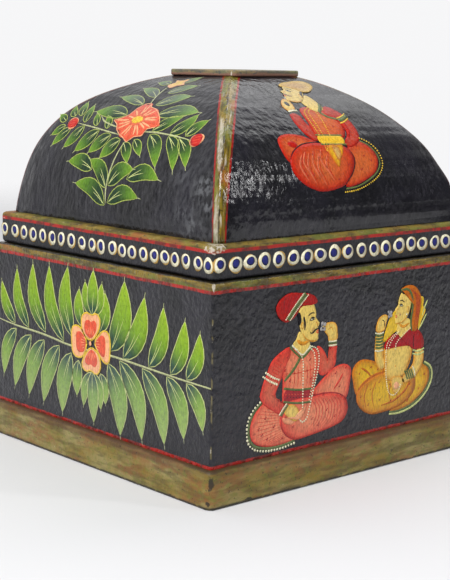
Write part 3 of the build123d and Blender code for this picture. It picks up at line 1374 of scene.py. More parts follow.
@dataclass(frozen=True)
class WallSpray(Motif):
    """A branch across a wall, leaved above and below, with one open flower at its middle."""

    stem: Path = ((-122, 88.5), (-102, 86.6), (-60, 85), (-27, 82.1), (19, 82.7), (61, 81), (100, 79.5),
        (124, 79))
    leaves: Rows = ((-100, 88, -118, 118, 11.5, 4), (-82, 87, -97, 130, 12.5, 6.5),
        (-60, 87, -76, 136, 14.5, 7.5), (-37, 84, -55, 137, 15, 8), (-27, 89, -32, 139, 15.5, 6),
        (-14, 98, -18, 125, 11, 3), (6, 97, 12, 126, 12.5, -3), (19, 86, 34, 137, 20, -5.5),
        (33, 83, 56, 129, 17.5, -6), (61, 82, 76, 125, 15, -5.5), (84, 81, 98, 119, 14, -4),
        (100, 80.5, 113, 113, 12.5, -4.5), (-99, 84, -116, 46, 13, -5), (-79, 82, -101, 39, 15, -5),
        (-62, 81, -82, 36, 15.5, -5), (-43, 80, -63, 34, 16, -4.5), (-28, 77, -39, 31, 17, -4),
        (-19, 73, -21, 47, 11.5, -1), (7, 68, 13, 47, 10.5, 1.4), (16, 77, 30, 28, 18.5, 5.5),
        (29, 81, 54, 30, 17.5, 7.5), (54, 80, 78, 32, 17, 7), (80, 79, 98, 40, 15.5, 5.5),
        (100, 78, 117, 49, 12.5, 4.5))
    lobes: Rows = ((-3, 108, -11, 131, 10, 3), (-2, 108, 8.5, 132, 10, -3), (-2.6, 108, -1.4, 140, 12.5, 0),
        (-3, 67, -13, 41, 10, -3), (-2, 67, 7.5, 42, 10, 3), (-2.6, 68, -0.6, 31, 12.5, 0))
    heart: Spot = (-4.8, 87.5)
    petals: tuple[Path, ...] = (((-9.3, 86.6), (-12.6, 94.1), (-19.4, 98.1), (-26.2, 96.1), (-27.1, 87.8),
        (-25.4, 77.8), (-19.4, 75.3), (-12.7, 77.9)), ((0.7, 88.2), (3.9, 93.7), (10.4, 98.7),
        (15.3, 98.5), (17.7, 94.9), (18.2, 87.1), (16.2, 76.8), (9.7, 77.7)), ((-3.5, 90), (-12.6, 93.1),
        (-15.5, 100.7), (-13.5, 107.1), (-7, 109.2), (-3.8, 107.6), (2.3, 109.9), (6.4, 106), (4.7, 97.8)),
        ((-4.3, 84.4), (-13.5, 74.7), (-14.4, 69.5), (-9.3, 66.8), (-4.3, 68.4), (2.3, 66.4), (6.4, 70.1),
        (7.2, 75.3), (4, 81.7)))

    def marks(self) -> Marks:
        """The branch, its leaves and the flower."""
        yield Stroke(self.stem, 1.5, Ink.STEM, 3, 0.5, 0.7)
        for row in self.leaves:
            yield Leaf(row, LeafTone.WALL, veins=1 + (row[4] > 14))
        for number, row in enumerate(self.lobes):
            yield Leaf(row, LeafTone.WALL, 3 + 2 * (number % 3 == 2))
        for petal in self.petals:
            yield from self.petal(petal)
        yield Dot(self.heart, 4.2, 4.6, Ink.BLACK, 10)
        yield Dot(self.heart, 3.0, 3.4, Ink.PEACH, 11)

    def petal(self, petal: Path) -> Marks:
        """A petal: yellow rim, peach body, red throat with fine streaks."""
        yield Cloth(petal, Ink.PEACH, Ink.PEACH, 7)
        yield Stroke(petal, 1.25, Ink.YELLOW, 8, closed=True)
        heart = np.array(self.heart)
        middle = np.mean(np.array(petal), axis=0)
        throat = heart + 0.16 * (middle - heart) + 0.66 * (np.array(petal) - heart)
        yield Cloth(throat, Ink.ROSE, Ink.ROSE, 8)
        way = (middle - heart) / np.linalg.norm(middle - heart)
        side = np.array([-way[1], way[0]])
        for step in (-2, -1, 0, 1, 2):
            start = heart + 6.5 * way + 1.5 * step * side
            end = heart + (12 - abs(step)) * way + 2.2 * step * side
            yield Thread([start, end], 0.35, Ink.PEACH, 9, 0.5, 0.2)


@dataclass(frozen=True)
class DomePlant(Motif):
    """A flowering plant up a curved panel: a tuft of leaves, two branches and a ragged peony."""

    stem: Path = ((-3.2, 14.9), (-4.8, 25.4), (-3.4, 36.7), (0.9, 52.8), (3.6, 59.4))
    branches: tuple[Path, ...] = (((-8.1, 63.1), (-25, 64.9), (-38.6, 66.3), (-64, 68.7)), ((15.2, 67.5),
        (28.3, 68.2), (46.1, 67.3), (66.1, 65.4)), ((-2, 94.7), (-5.5, 105.2), (-7.2, 117.4)), ((-15, 69),
        (-32.7, 72.4), (-42.6, 77.9)))
    leaves: Rows = ((-24, 36.3, -53.3, 39.5, 11, -3), (-5.1, 25.4, -28.5, 42.8, 11.5, -4),
        (-2.9, 27.3, 21.6, 40, 12.5, 4.5), (16.5, 33.2, 50.3, 35.4, 11, 5),
        (-4.4, 14, -40.5, 25.8, 12, -5), (-1.3, 15.9, 31.8, 21.8, 11, 5), (-76.9, 65.3, -88.4, 56.4, 7, 0),
        (-67.9, 63.7, -81.1, 49.1, 9, -1), (-53.1, 67, -65, 48.5, 11, 1),
        (-32.8, 64.6, -49.9, 46.9, 12, 0), (-16.6, 62.1, -33.3, 47.3, 11.5, -1),
        (-3, 59.2, -18.5, 44.8, 11.5, -1), (1.9, 57.4, 13.1, 43.7, 9, 1.5), (11.3, 60.6, 24.1, 49.6, 7, 1),
        (24.4, 66.1, 43.7, 43.1, 11.5, 3.5), (44.2, 66.4, 61.7, 42.7, 10, 3.5),
        (55.4, 65.7, 72.9, 46, 9.5, 3), (-79.8, 68.9, -92.9, 74, 6.5, 0),
        (-72.8, 74.2, -81.5, 84.1, 6.5, 1.5), (-66.2, 75.5, -72.4, 89.7, 7.5, 1),
        (-55.6, 69.9, -61.8, 87.7, 8, 1), (-38.6, 68.3, -49.3, 79, 6, 0),
        (-25.1, 66.9, -34.4, 78.1, 6.5, -1), (-15.2, 81, -52.8, 81, 13, -2),
        (-8.8, 93.4, -41.6, 99.7, 9.5, -2), (-4.8, 103.1, -30, 113.5, 9, -2),
        (5.3, 93.7, 29.5, 107.3, 12, 2), (17, 83.5, 54.4, 89.7, 13.5, 3.5), (24.4, 69.1, 44, 84.7, 11, 1),
        (44.1, 68.3, 56.4, 87.7, 12, -3), (59.9, 67.9, 70, 83.3, 9.5, 1), (-1.9, 125.9, 6.5, 138.7, 9, 0),
        (1.2, 109.7, 20.4, 122.2, 10, 1.5), (-10.5, 122.1, -24.5, 124, 7.5, -1))
    peony: Path = ((-24, 74.7), (-18.2, 76.9), (-12.6, 80), (-10.5, 87.2), (-7.3, 93.5), (-2.8, 92.6),
        (0.5, 95.8), (3.6, 90.5), (7.4, 89.5), (13.9, 88.6), (16.6, 85.2), (21.5, 81.7), (22.9, 78.7),
        (28.2, 74.1), (21.7, 71.3), (16.7, 69.3), (17, 64.7), (13.2, 63), (8.7, 62.4), (3.9, 57.9),
        (-1.8, 61.2), (-6.2, 61.2), (-9.5, 66.1), (-14.8, 67), (-17.1, 71.1))
    peony_heart: Spot = (1.3, 77.1)
    berries: Path = ((-69.6, 68), (71.8, 66.2))
    bud: Path = ((-9.7, 120.1), (-7.2, 125.5), (-10.3, 129.6), (-4.9, 129.9), (-0.6, 133.2), (0.8, 127.1),
        (4.5, 123.2), (-1, 120.8), (-3.7, 116.6))

    def marks(self) -> Marks:
        """The stems, the leaves, the berries, the bud and the peony."""
        yield Stroke(self.stem, 1.2, Ink.STEM, 3)
        for branch in self.branches:
            yield Stroke(branch, 1.1, Ink.STEM, 3)
        for row in self.leaves:
            yield Leaf(row, LeafTone.DOME, veins=1 + (row[4] > 9.2), hair=0.1)
        for berry in self.berries:
            yield Dot(berry, 11.5, 10.5, Ink.PEACH, 7)
            yield Dot(berry, 10.4, 9.4, Ink.BERRY, 8)
            for step in (-1, 0, 1):
                yield Thread([(berry[0] - 3, berry[1] + 2.4 * step - 1),
                    (berry[0] + 3, berry[1] + 2.4 * step + 1)], 0.5, Ink.ROSE, 9)
        yield Cloth(self.bud, Ink.YELLOW, Ink.PEACH, 6)
        yield from self.flower()

    def flower(self) -> Marks:
        """The ragged peony, darker in streaks from its yellow heart."""
        yield Cloth(self.peony, Ink.ORANGE, Ink.ROSE, 7, self.peony_heart, 1.6)
        yield Stroke(self.peony, 0.7, Ink.PEACH, 9, closed=True)
        heart = np.array(self.peony_heart)
        for number, spot in enumerate(self.peony):
            away = np.array(spot) - heart
            pigment = (Ink.PEACH, Ink.ROSE, Ink.PEACH)[number % 3]
            yield Thread([heart + 0.35 * away, heart + 0.62 * away + (0.6, 0),
                heart + 0.9 * away], 1.3, pigment, 9, 0.3, 0.5)
        for step in range(9):
            turn = 2 * math.pi * step / 9
            yield Dot((heart[0] + 4.2 * math.cos(turn), heart[1] + 2.2 * math.sin(turn)), 3.4, 2.6,
                Ink.YELLOW, 10)
        yield Dot(self.peony_heart, 5, 3, Ink.YELLOW, 11)


@dataclass(frozen=True)
class RingDots(Motif):
    """The row of cream rings with blue centres round the lid's collar."""

    number: int
    across: float = 9.2
    up: float = 9.9
    height: float = 157.2
    reach: float = 117.0
    crowding: float = 0.0

    def paint(self, painting: Painting) -> None:
        """Paints the rings by hand, so no two are alike."""
        about = painting.hand.uniform
        for step in range(self.number):
            share = step / (self.number - 1)
            place = self.reach * (2 * share + self.crowding * share * (1 - share) - 1)
            x, y = place + about(-0.8, 0.8), self.height + about(-0.5, 0.5)
            wide, tall = self.across * about(0.9, 1.06), self.up * about(0.93, 1.08)
            inner = (x + about(-0.5, 0.5), y + about(-0.2, 0.7))
            stain = (x + about(-0.9, 0.9), y - 0.3)
            for mark in (Dot(stain, wide, tall, Ink.OCHRE, 0.5),
                         Dot((x, y), 0.96 * wide, 0.96 * tall, Ink.CREAM, 1),
                         Dot(inner, wide * 0.57, tall * 0.6, Ink.BLACK, 2),
                         Dot(inner, wide * 0.47, tall * 0.5, Ink.BLUE, 3)):
                mark.paint(painting)


# ---------------------------------------- court figures


@dataclass(frozen=True)
class CourtHead(Motif):
    """A head in profile to the usual proportions, calm and looking ahead.

    Spots on it are shares of its height: ahead of its middle, and up from the chin.
    """

    middle: Spot
    height: float
    tilt: float
    facing: int
    layer: float = 12
    profile: Path = (
        (0.02, 0.93), (0.2, 0.9), (0.3, 0.8), (0.335, 0.68), (0.345, 0.58), (0.322, 0.51),
        (0.372, 0.42), (0.42, 0.35), (0.36, 0.302), (0.345, 0.268), (0.37, 0.228),
        (0.345, 0.192), (0.358, 0.152), (0.326, 0.112), (0.338, 0.055), (0.265, 0.0),
        (0.12, 0.025), (-0.05, 0.14), (-0.13, 0.3), (-0.16, 0.5), (-0.14, 0.76))

    def spot(self, ahead: float, up: float) -> Spot:
        """Where a share of the head lies on the face of the box."""
        turn = math.radians(self.tilt)
        forward = (ahead - 0.1) * self.height
        rise = (up - 0.45) * self.height
        along = forward * math.cos(turn) - rise * math.sin(turn)
        return (self.middle[0] + self.facing * along,
                self.middle[1] + forward * math.sin(turn) + rise * math.cos(turn))

    def line(self, spots: Path, width: float, ink: Ink, extra: float = 2) -> Thread:
        """A fine line on the head, its width a share of the height."""
        return Thread([self.spot(*s) for s in spots], width * self.height, ink,
                      self.layer + extra, 0.5, 0.35)

    def touch(self, at: Spot, size: Spot, ink: Ink, extra: float = 2) -> Dot:
        """A small round touch on the head, its size a share of the height."""
        return Dot(self.spot(*at), size[0] * self.height, size[1] * self.height, ink,
                   self.layer + extra, 0.03)

    def marks(self) -> Marks:
        """The face, eye, brow, lips, ear and the shade under the jaw."""
        yield Cloth([self.spot(*s) for s in self.profile], Ink.SKIN, Ink.SKIN, self.layer,
                    self.spot(0.1, 0.45))
        jaw = [(0.27, 0.012), (0.12, 0.045), (-0.03, 0.15), (-0.1, 0.28)]
        yield self.line(jaw, 0.028, Ink.SKIN_SHADE, 1)
        yield self.line([(0.31, 0.42), (0.345, 0.35), (0.33, 0.3)], 0.022, Ink.SKIN_SHADE, 1)
        yield self.touch((0.2, 0.27), (0.1, 0.09), Ink.OCHRE, 1)
        yield self.touch((0.215, 0.502), (0.13, 0.05), Ink.PEARL)
        yield self.touch((0.232, 0.503), (0.045, 0.05), Ink.HAIR, 3)
        yield self.line([(0.135, 0.49), (0.215, 0.535), (0.295, 0.5)], 0.024, Ink.HAIR, 3)
        yield self.line([(0.145, 0.487), (0.215, 0.472), (0.285, 0.49)], 0.012, Ink.HAIR, 3)
        yield self.line([(0.11, 0.6), (0.21, 0.632), (0.305, 0.605)], 0.026, Ink.HAIR, 3)
        yield self.line([(0.36, 0.212), (0.32, 0.212), (0.285, 0.197)], 0.026, Ink.ROSE)
        yield self.line([(0.352, 0.172), (0.32, 0.168), (0.285, 0.193)], 0.026, Ink.ROSE)
        yield self.touch((-0.08, 0.44), (0.08, 0.15), Ink.SKIN_SHADE)
        yield self.touch((-0.075, 0.44), (0.05, 0.11), Ink.SKIN, 3)


@dataclass(frozen=True)
class Nobleman(Motif):
    """A seated nobleman in a turban and a dotted robe, holding up a flower."""

    hem: Path = ((-81, 63.5), (-87.8, 58), (-92, 50), (-91.8, 40.5), (-86.5, 34.4), (-75.8, 31.4),
        (-62.5, 30.9), (-50, 32.4))
    head: CourtHead = CourtHead((-39.6, 112.3), 32.5, 10, 1)

    def marks(self) -> Marks:
        """The nobleman, from the back to the front."""
        yield from self.seat()
        yield from self.far_arm()
        yield Cloth([(-56.3, 97.4), (-48.9, 93.5), (-43.5, 89.7), (-38.4, 93.6), (-31, 93.6), (-27.9, 87),
            (-29.2, 76.2), (-33.2, 68.2), (-34, 56), (-47, 54), (-61, 58), (-62.4, 76), (-64, 86),
            (-62, 94)], Ink.ROBE, Ink.ROBE_EDGE, 3, bloom=3.4)
        yield from self.sash()
        yield from self.near_arm()
        yield from self.neck()
        yield self.head
        yield from self.hair()
        yield from self.turban()
        yield from self.jewels()

    def seat(self) -> Marks:
        """The skirt with its pearled hem and both legs."""
        yield Cloth([(-79.3, 62.8), (-85.7, 58.5), (-90, 52.4), (-91.3, 45.1), (-88.6, 37.9), (-80, 33.3),
            (-66.7, 31.4), (-56.3, 31.9), (-49, 32.6), (-54, 40), (-60, 50), (-66, 60)], Ink.ROBE,
            Ink.ROBE_EDGE, 1, bloom=4)
        outer = Line([(-76, 60), (-84, 54), (-86, 44), (-80, 36), (-68, 34)])
        inner = Line([(-64, 56), (-64, 52), (-62, 46), (-60, 41), (-56, 36)])
        folds = np.linspace(0.04, 0.96, 14)
        for start, end in zip(outer.at(folds), inner.at(folds)):
            yield Thread([start, end], 0.35, Ink.ROBE_EDGE, 2, 0.4, 0.2)
        yield Stroke(self.hem, 2.0, Ink.BORDER, 3, 1, 1)
        yield Pearls([(x * 1.02 + 0.4, y * 1.02 - 2.2) if y < 45 else (x - 1.8, y + 0.4)
            for x, y in self.hem], 2.5, 1.75)
        yield Cloth([(-34, 62.9), (-28.9, 68.4), (-22.5, 72.9), (-12.9, 78.3), (-2.9, 79.3), (3.4, 75.3),
            (3.2, 67), (-1.4, 54), (-16, 56)], Ink.ROBE, Ink.ROBE_EDGE, 2, (-11, 66), bloom=3.0)
        yield Stroke([(-4.3, 72.8), (-8, 68), (-13.4, 62.5)], 1.6, Ink.ROBE_EDGE, 3)
        yield Cloth([(-35, 60.7), (-23.1, 60.9), (-9.9, 58.9), (-1.3, 54.1), (1.3, 46.5), (-3.5, 39.2),
            (-14.5, 36.2), (-27.6, 34.5), (-42.6, 33.1), (-51.1, 33.3), (-59.6, 38.3), (-64.5, 46.8),
            (-63, 54), (-57.1, 60), (-45.6, 61)], Ink.ROBE, Ink.ROBE_EDGE, 5, (-27, 47), bloom=2.4)
        yield Stroke([(-35, 60.9), (-23.1, 61.5), (-9.9, 59.6), (-1, 54.6), (1.6, 47)], 0.8, Ink.CRIMSON,
            6)
        yield Stroke([(-62, 52), (-62.5, 44), (-57, 36.5), (-48.5, 33)], 0.6, Ink.CRIMSON, 6)
        for across in range(-30, -3, 3):
            yield Stroke([(across - 5, 59), (across, 52), (across - 1, 44), (across - 7, 38)], 0.6,
                Ink.ROBE_EDGE, 6, 0.2, 0.1)

    def far_arm(self) -> Marks:
        """The raised arm, its cuff, the hand and the flower in it."""
        yield Cloth([(-30.2, 95.3), (-25.2, 92.7), (-21.7, 88.1), (-19.9, 84.7), (-18.9, 89.3),
            (-18.5, 95), (-11.4, 94.2), (-11.5, 87.7), (-11.9, 81.4), (-14.7, 77.4), (-19.7, 74.8),
            (-24.8, 73.9), (-28.3, 76), (-30.2, 82), (-31.1, 89.1)], Ink.SLEEVE, Ink.ROBE_EDGE, 1,
            (-20.4, 80.1), 1.6)
        yield Cloth([(-19, 97), (-20.5, 101), (-24, 105), (-23, 109.5), (-18.6, 110.4), (-14, 109.6),
            (-11.4, 106), (-11.2, 97.5)], Ink.SKIN, Ink.SKIN_SHADE, 3, bloom=5)
        yield Stroke([(-20.5, 105.5), (-17, 106.5), (-15.2, 103.5)], 0.6, Ink.SKIN_SHADE, 4)
        for level, pigment in ((94.2, Ink.PEARL), (95.6, Ink.BORDER), (97.0, Ink.PEARL)):
            yield Thread([(-19.4, level), (-15.3, level - 0.4), (-11.3, level - 0.2)], 1.1, pigment, 5, 1,
                1)
        for spot in ((-25.8, 108), (-24, 109.6), (-26.4, 110.2), (-27, 106.6), (-24.4, 106.4)):
            yield Dot(spot, 2.6, 2.8, Ink.SILVER, 15)
        yield Bead((-25.4, 108.2), 1.0, Ink.YELLOW, 16)

    def sash(self) -> Marks:
        """The crimson sash between its green borders."""
        yield Limb([(-61.2, 65.4), (-48, 62.8), (-35.3, 61.9)], (10, 9.4, 9), Ink.CRIMSON, Ink.CRIMSON, 4)
        for rise in (4.5, -4.7):
            yield Stroke([(-61.4, 65.6 + rise), (-48, 62.9 + rise), (-35.2, 62 + rise)], 1.5, Ink.BORDER,
                6, 1, 1)
        for step in range(9):
            yield Bead((-59 + 2.8 * step, 65.6 - 0.35 * step), 1.0, Ink.ROSE, 5, 0.02)
            yield Bead((-57.8 + 2.8 * step, 63.4 - 0.35 * step), 0.9, Ink.HAIR, 5, 0.02)
        for across in (-56, -52, -48.5, -40, -37):
            yield Thread([(across, 84), (across + 0.6, 76), (across, 69)], 0.5, Ink.ROBE_EDGE, 5, 0.3,
                0.2)
        yield Stroke([(-61, 80), (-50, 79), (-38, 79.5), (-29.5, 80.5)], 0.5, Ink.ROBE_EDGE, 5)

    def near_arm(self) -> Marks:
        """The arm that rests in the lap, its armlet, cuff and hand."""
        yield Cloth([(-57, 97.9), (-63.1, 96), (-69.6, 92.7), (-74, 88.5), (-76.8, 82.7), (-79.7, 77.5),
            (-81.9, 71.6), (-83, 67.3), (-81.1, 63.6), (-77.3, 60.2), (-71.1, 56.4), (-64.5, 52.8),
            (-61.7, 55.3), (-58.4, 58.1), (-63.4, 61.3), (-68.1, 64.7), (-68.8, 67.8), (-66.8, 72),
            (-63.9, 76.9), (-61.6, 81.7), (-59, 87), (-55.7, 92.3)], Ink.SLEEVE, Ink.ROBE_EDGE, 7,
            (-74.9, 68.7), 1.6)
        for step in range(8):
            yield Thread([(-68.8 - step, 91 - 1.9 * step), (-62.6 - 0.7 * step, 87 - 1.9 * step)], 0.5,
                Ink.ROBE_EDGE, 9, 0.3, 0.2)
        for start, end in (((-80.3, 80.6), (-67.9, 74)), ((-77.9, 83), (-66.2, 76.8))):
            yield Pearls([start, ((start[0] + end[0]) / 2, (start[1] + end[1]) / 2 - 0.5), end], 1.5, 1.7)
        yield Cloth([(-60.5, 53.7), (-57.1, 58), (-51, 57.4), (-46.8, 53), (-46.2, 47.6), (-50, 45.8),
            (-56, 49)], Ink.SKIN, Ink.SKIN_SHADE, 8, bloom=5)
        yield Cloth([(-62, 50), (-55, 48.6), (-46.5, 46.8), (-42, 50), (-40, 56), (-45, 51), (-52, 44.6),
            (-60, 46)], Ink.PEACH, Ink.ROBE, 7)
        yield Stroke([(-63.6, 51.6), (-60.4, 55), (-57, 58.6)], 1.5, Ink.BORDER, 9, 1, 1)
        yield Stroke([(-65, 52.4), (-61.9, 56), (-58.4, 59.4)], 1.1, Ink.PEARL, 9, 1, 1)

    def neck(self) -> Marks:
        """The neck and the crossed neckline with its green borders."""
        yield Cloth([(-47.2, 107.1), (-49, 106), (-50.5, 102.4), (-53.5, 99), (-50.2, 95.2), (-43.5, 91.2),
            (-38, 95.5), (-37.8, 99.4), (-38.9, 103.8)], Ink.SKIN, Ink.SKIN, 6)
        yield Stroke([(-50, 101.5), (-44.5, 98.6), (-37.6, 100)], 2.6, Ink.SKIN_SHADE, 7)
        yield Stroke([(-54.4, 98.6), (-50, 94.8), (-44.4, 91), (-39.5, 94), (-37, 96)], 1.2, Ink.PEARL, 8,
            1, 1)
        yield Stroke([(-56.4, 97.6), (-51, 93), (-44.5, 89.2), (-39, 92.4), (-36, 95)], 1.5, Ink.BORDER, 8,
            1, 1)
        yield Stroke([(-46, 90), (-52, 82.5), (-61, 75)], 2.1, Ink.BORDER, 6, 0.9, 0.7)

    def hair(self) -> Marks:
        """The hair at the nape, the side whisker and the curled moustache."""
        head = self.head
        yield head.line([(-0.14, 0.74), (-0.13, 0.58), (-0.16, 0.47)], 0.07, Ink.HAIR, 3)
        yield head.line([(-0.02, 0.62), (-0.01, 0.45), (-0.035, 0.33)], 0.05, Ink.HAIR, 3)
        yield head.line([(0.375, 0.245), (0.28, 0.25), (0.18, 0.205), (0.13, 0.215), (0.115, 0.25)], 0.034,
            Ink.HAIR, 4)

    def turban(self) -> Marks:
        """The turban, its folds and the green band edged with pearls."""
        yield Cloth([(-45.5, 133.1), (-57.5, 134.3), (-65.6, 131.2), (-70, 126), (-68.3, 120),
            (-62.5, 115.3), (-57.5, 115.4), (-51.8, 118.3), (-48, 123), (-44.7, 124.6), (-37.3, 124.2),
            (-31.3, 125.8), (-34.5, 130), (-40.2, 132.4)], Ink.TURBAN, Ink.TURBAN, 15)
        for step in range(7):
            yield Stroke([(-46 - 2.6 * step, 132.8), (-52 - 2 * step, 127.5 - 0.3 * step),
                (-57 - 1.2 * step, 118.2 + 0.7 * step)], 0.55, Ink.CRIMSON, 16, 0.3, 0.3)
        for step in range(5):
            yield Thread([(-39.5 + 1.4 * step, 131.4 - 0.8 * step),
                (-41 + 1.7 * step, 125.2 + 0.2 * step)], 0.5, Ink.CRIMSON, 16, 0.3, 0.3)
        yield Stroke([(-42.8, 132.4), (-51.5, 124.6), (-59.4, 116.6)], 3.4, Ink.BORDER, 17, 1, 1)
        yield Pearls([(-45, 132.8), (-53.6, 124.8), (-61, 116.8)], 1.15, 1.1, layer=18)
        yield Pearls([(-40.8, 131.4), (-49.6, 123.6), (-57, 116)], 1.15, 1.1, layer=18)

    def jewels(self) -> Marks:
        """The strings of pearls and the dots on the robe."""
        yield Pearls([(-50, 95.2), (-45, 89.5), (-43.6, 84), (-43.4, 69.7), (-43.3, 58), (-43.1, 49)],
            1.75, 1.25)
        yield Pearls([(-37.4, 96.2), (-31.2, 93.6), (-28.6, 87.5), (-29.8, 77.1), (-33.1, 65.9), (-36, 56),
            (-38.8, 47), (-43, 44.2), (-45.9, 46.6)], 1.75, 1.3)
        yield Pearls([(-37.3, 95), (-33.4, 90.7), (-32.2, 82.1), (-34, 69.9), (-37.2, 59)], 1.75, 1.2)
        yield Specks([(-58.8, 91), (-37.6, 86.4), (-60.6, 82), (-56, 74.6), (-36, 73.4), (-12, 73.8),
            (-8, 64), (-2, 76.4), (-24, 60.4), (-20, 49), (-34, 45), (-12, 43.4), (-28, 39.6), (-52, 42.4),
            (-78, 52), (-70, 45), (-84, 45.5), (-76, 37.6), (-62, 36), (-20, 84.4), (-17.6, 92), (-73, 74),
            (-66, 62.4), (-81, 41)], 1.15)


@dataclass(frozen=True)
class Lady(Motif):
    """A seated lady in a veil, a short blouse and a saffron skirt, holding up a flower."""

    head: CourtHead = CourtHead((56.4, 112.4), 27.5, 14, -1)

    def marks(self) -> Marks:
        """The lady, from the back to the front."""
        yield from self.seat()
        yield from self.veil()
        yield from self.body()
        yield from self.arms()
        yield self.head
        yield from self.hair()
        yield from self.jewels()

    def seat(self) -> Marks:
        """The skirt, its pale hem and both legs."""
        yield Cloth([(80.9, 68.8), (86.6, 64.4), (87.8, 56.8), (83.4, 49.4), (75.1, 43.4), (65, 39),
            (53, 37.4), (45.1, 38.1), (58, 46), (68, 58), (74, 66)], Ink.SAFFRON, Ink.AMBER, 1, bloom=3)
        yield Stroke([(80.6, 68.8), (87, 64.8), (89, 57.8), (85.4, 49.8), (77, 43), (66, 38.6), (54, 36.8),
            (45, 37.4)], 1.6, Ink.BORDER, 2, 1, 1)
        yield Stroke([(81.8, 69.6), (89, 65.4), (91.2, 58), (87.6, 49.4), (78.6, 41.8), (67, 37),
            (54, 35.2), (45, 36.2)], 1.5, Ink.LEAF_LINE, 2, 1, 1)
        yield Cloth([(10.3, 55), (6.2, 64.8), (4.9, 72.3), (8.4, 77.7), (15.9, 79.9), (27.5, 77),
            (37.5, 71.2), (39, 63), (24, 60)], Ink.SAFFRON, Ink.AMBER, 2, bloom=2.4)
        yield Stroke([(14, 74), (20, 70.6), (25, 66)], 1.5, Ink.AMBER, 3)
        yield Cloth([(10.3, 56.9), (16.7, 62), (28, 66.4), (39.6, 67.5), (51.7, 64.4), (62, 63),
            (70, 62.6), (72.6, 56.1), (70.7, 48.7), (61.9, 42.4), (51, 39.6), (39.1, 38.6), (26.4, 38.6),
            (16.6, 42.8), (10.6, 49.6)], Ink.SAFFRON, Ink.AMBER, 5, (36, 52), bloom=2.4)
        yield Stroke([(10.6, 57.8), (17, 63), (28, 67.2), (39.4, 68.2)], 1.5, Ink.AMBER, 6)
        yield Stroke([(68, 61), (62, 52), (50, 45.6), (36, 43.6)], 1.7, Ink.AMBER, 6)
        for across in (20, 28, 46, 54):
            yield Stroke([(across + 2, 63), (across - 2, 53), (across, 44)], 1.0, Ink.AMBER, 6, 0.2, 0.1)

    def veil(self) -> Marks:
        """The veil over the hair and the ends that hang behind and before."""
        yield Cloth([(74, 118), (78.6, 117.4), (78, 112), (81, 108), (77, 101), (73.4, 94)], Ink.SAFFRON,
            Ink.YELLOW, 1)
        yield Stroke([(82.8, 115.4), (79.6, 110), (77.4, 104.6)], 1.2, Ink.LEAF_LINE, 2)
        yield Stroke([(82.2, 105.4), (78, 99.5), (73.4, 93.8)], 1.2, Ink.LEAF_LINE, 2)
        yield Cloth([(50, 111.5), (44.4, 108.7), (39.4, 100.5), (36, 90.4), (38.6, 90), (45, 94),
            (53, 99)], Ink.YELLOW, Ink.SAFFRON, 2)
        yield Cloth([(52.8, 126), (60.2, 128.4), (68.3, 126.8), (74.3, 120.3), (75.4, 113.4),
            (73.6, 104.7), (71.6, 94.8), (66, 95), (64.6, 106), (65.4, 115.8), (62.5, 121.5), (57, 124.4)],
            Ink.AMBER, Ink.AMBER, 15, (69.4, 112))
        yield Stroke([(52.8, 125.4), (60.4, 125.4), (65, 120), (66, 111), (64.8, 102), (66, 94.6)], 1.9,
            Ink.BORDER, 16, 0.8, 0.8)
        for step in range(4):
            yield Stroke([(63 + 2.4 * step, 126.4 - 1.4 * step), (70 + 1.1 * step, 117),
                (68.8 + 1.2 * step, 98)], 0.5, Ink.CRIMSON, 16, 0.3, 0.3)

    def body(self) -> Marks:
        """The waist, the blouse and the neck."""
        yield Cloth([(37.7, 87), (50.6, 87), (66, 87), (67.6, 79.5), (64, 71.1), (60, 63), (50, 60),
            (39.2, 63), (38, 74.4)], Ink.SKIN, Ink.SKIN_SHADE, 6, bloom=5)
        yield Stroke([(67, 81), (66, 74), (62.6, 67)], 0.8, Ink.SKIN_SHADE, 7)
        yield Dot((50, 70.6), 1.1, 1.4, Ink.SKIN_SHADE, 7)
        yield Cloth([(53, 105), (64, 103), (65.6, 95.4), (55, 90.6), (50, 96)], Ink.SKIN, Ink.SKIN, 7)
        yield Stroke([(52.6, 100.6), (57, 98.6), (63.4, 100.4)], 2.0, Ink.SKIN_SHADE, 8)
        yield Cloth([(37.6, 87.6), (41.3, 91.8), (50.1, 94.6), (54.4, 90.6), (64, 96), (73.3, 94.6),
            (79, 88.4), (79.6, 80.8), (68.8, 80.6), (64.6, 83.6), (50.6, 84.4), (41.7, 84), (37.4, 84)],
            Ink.CRIMSON, Ink.TURBAN, 8, (58, 87.6))
        yield Stroke([(69, 92), (68.2, 86), (69, 81)], 0.8, Ink.HAIR, 9)

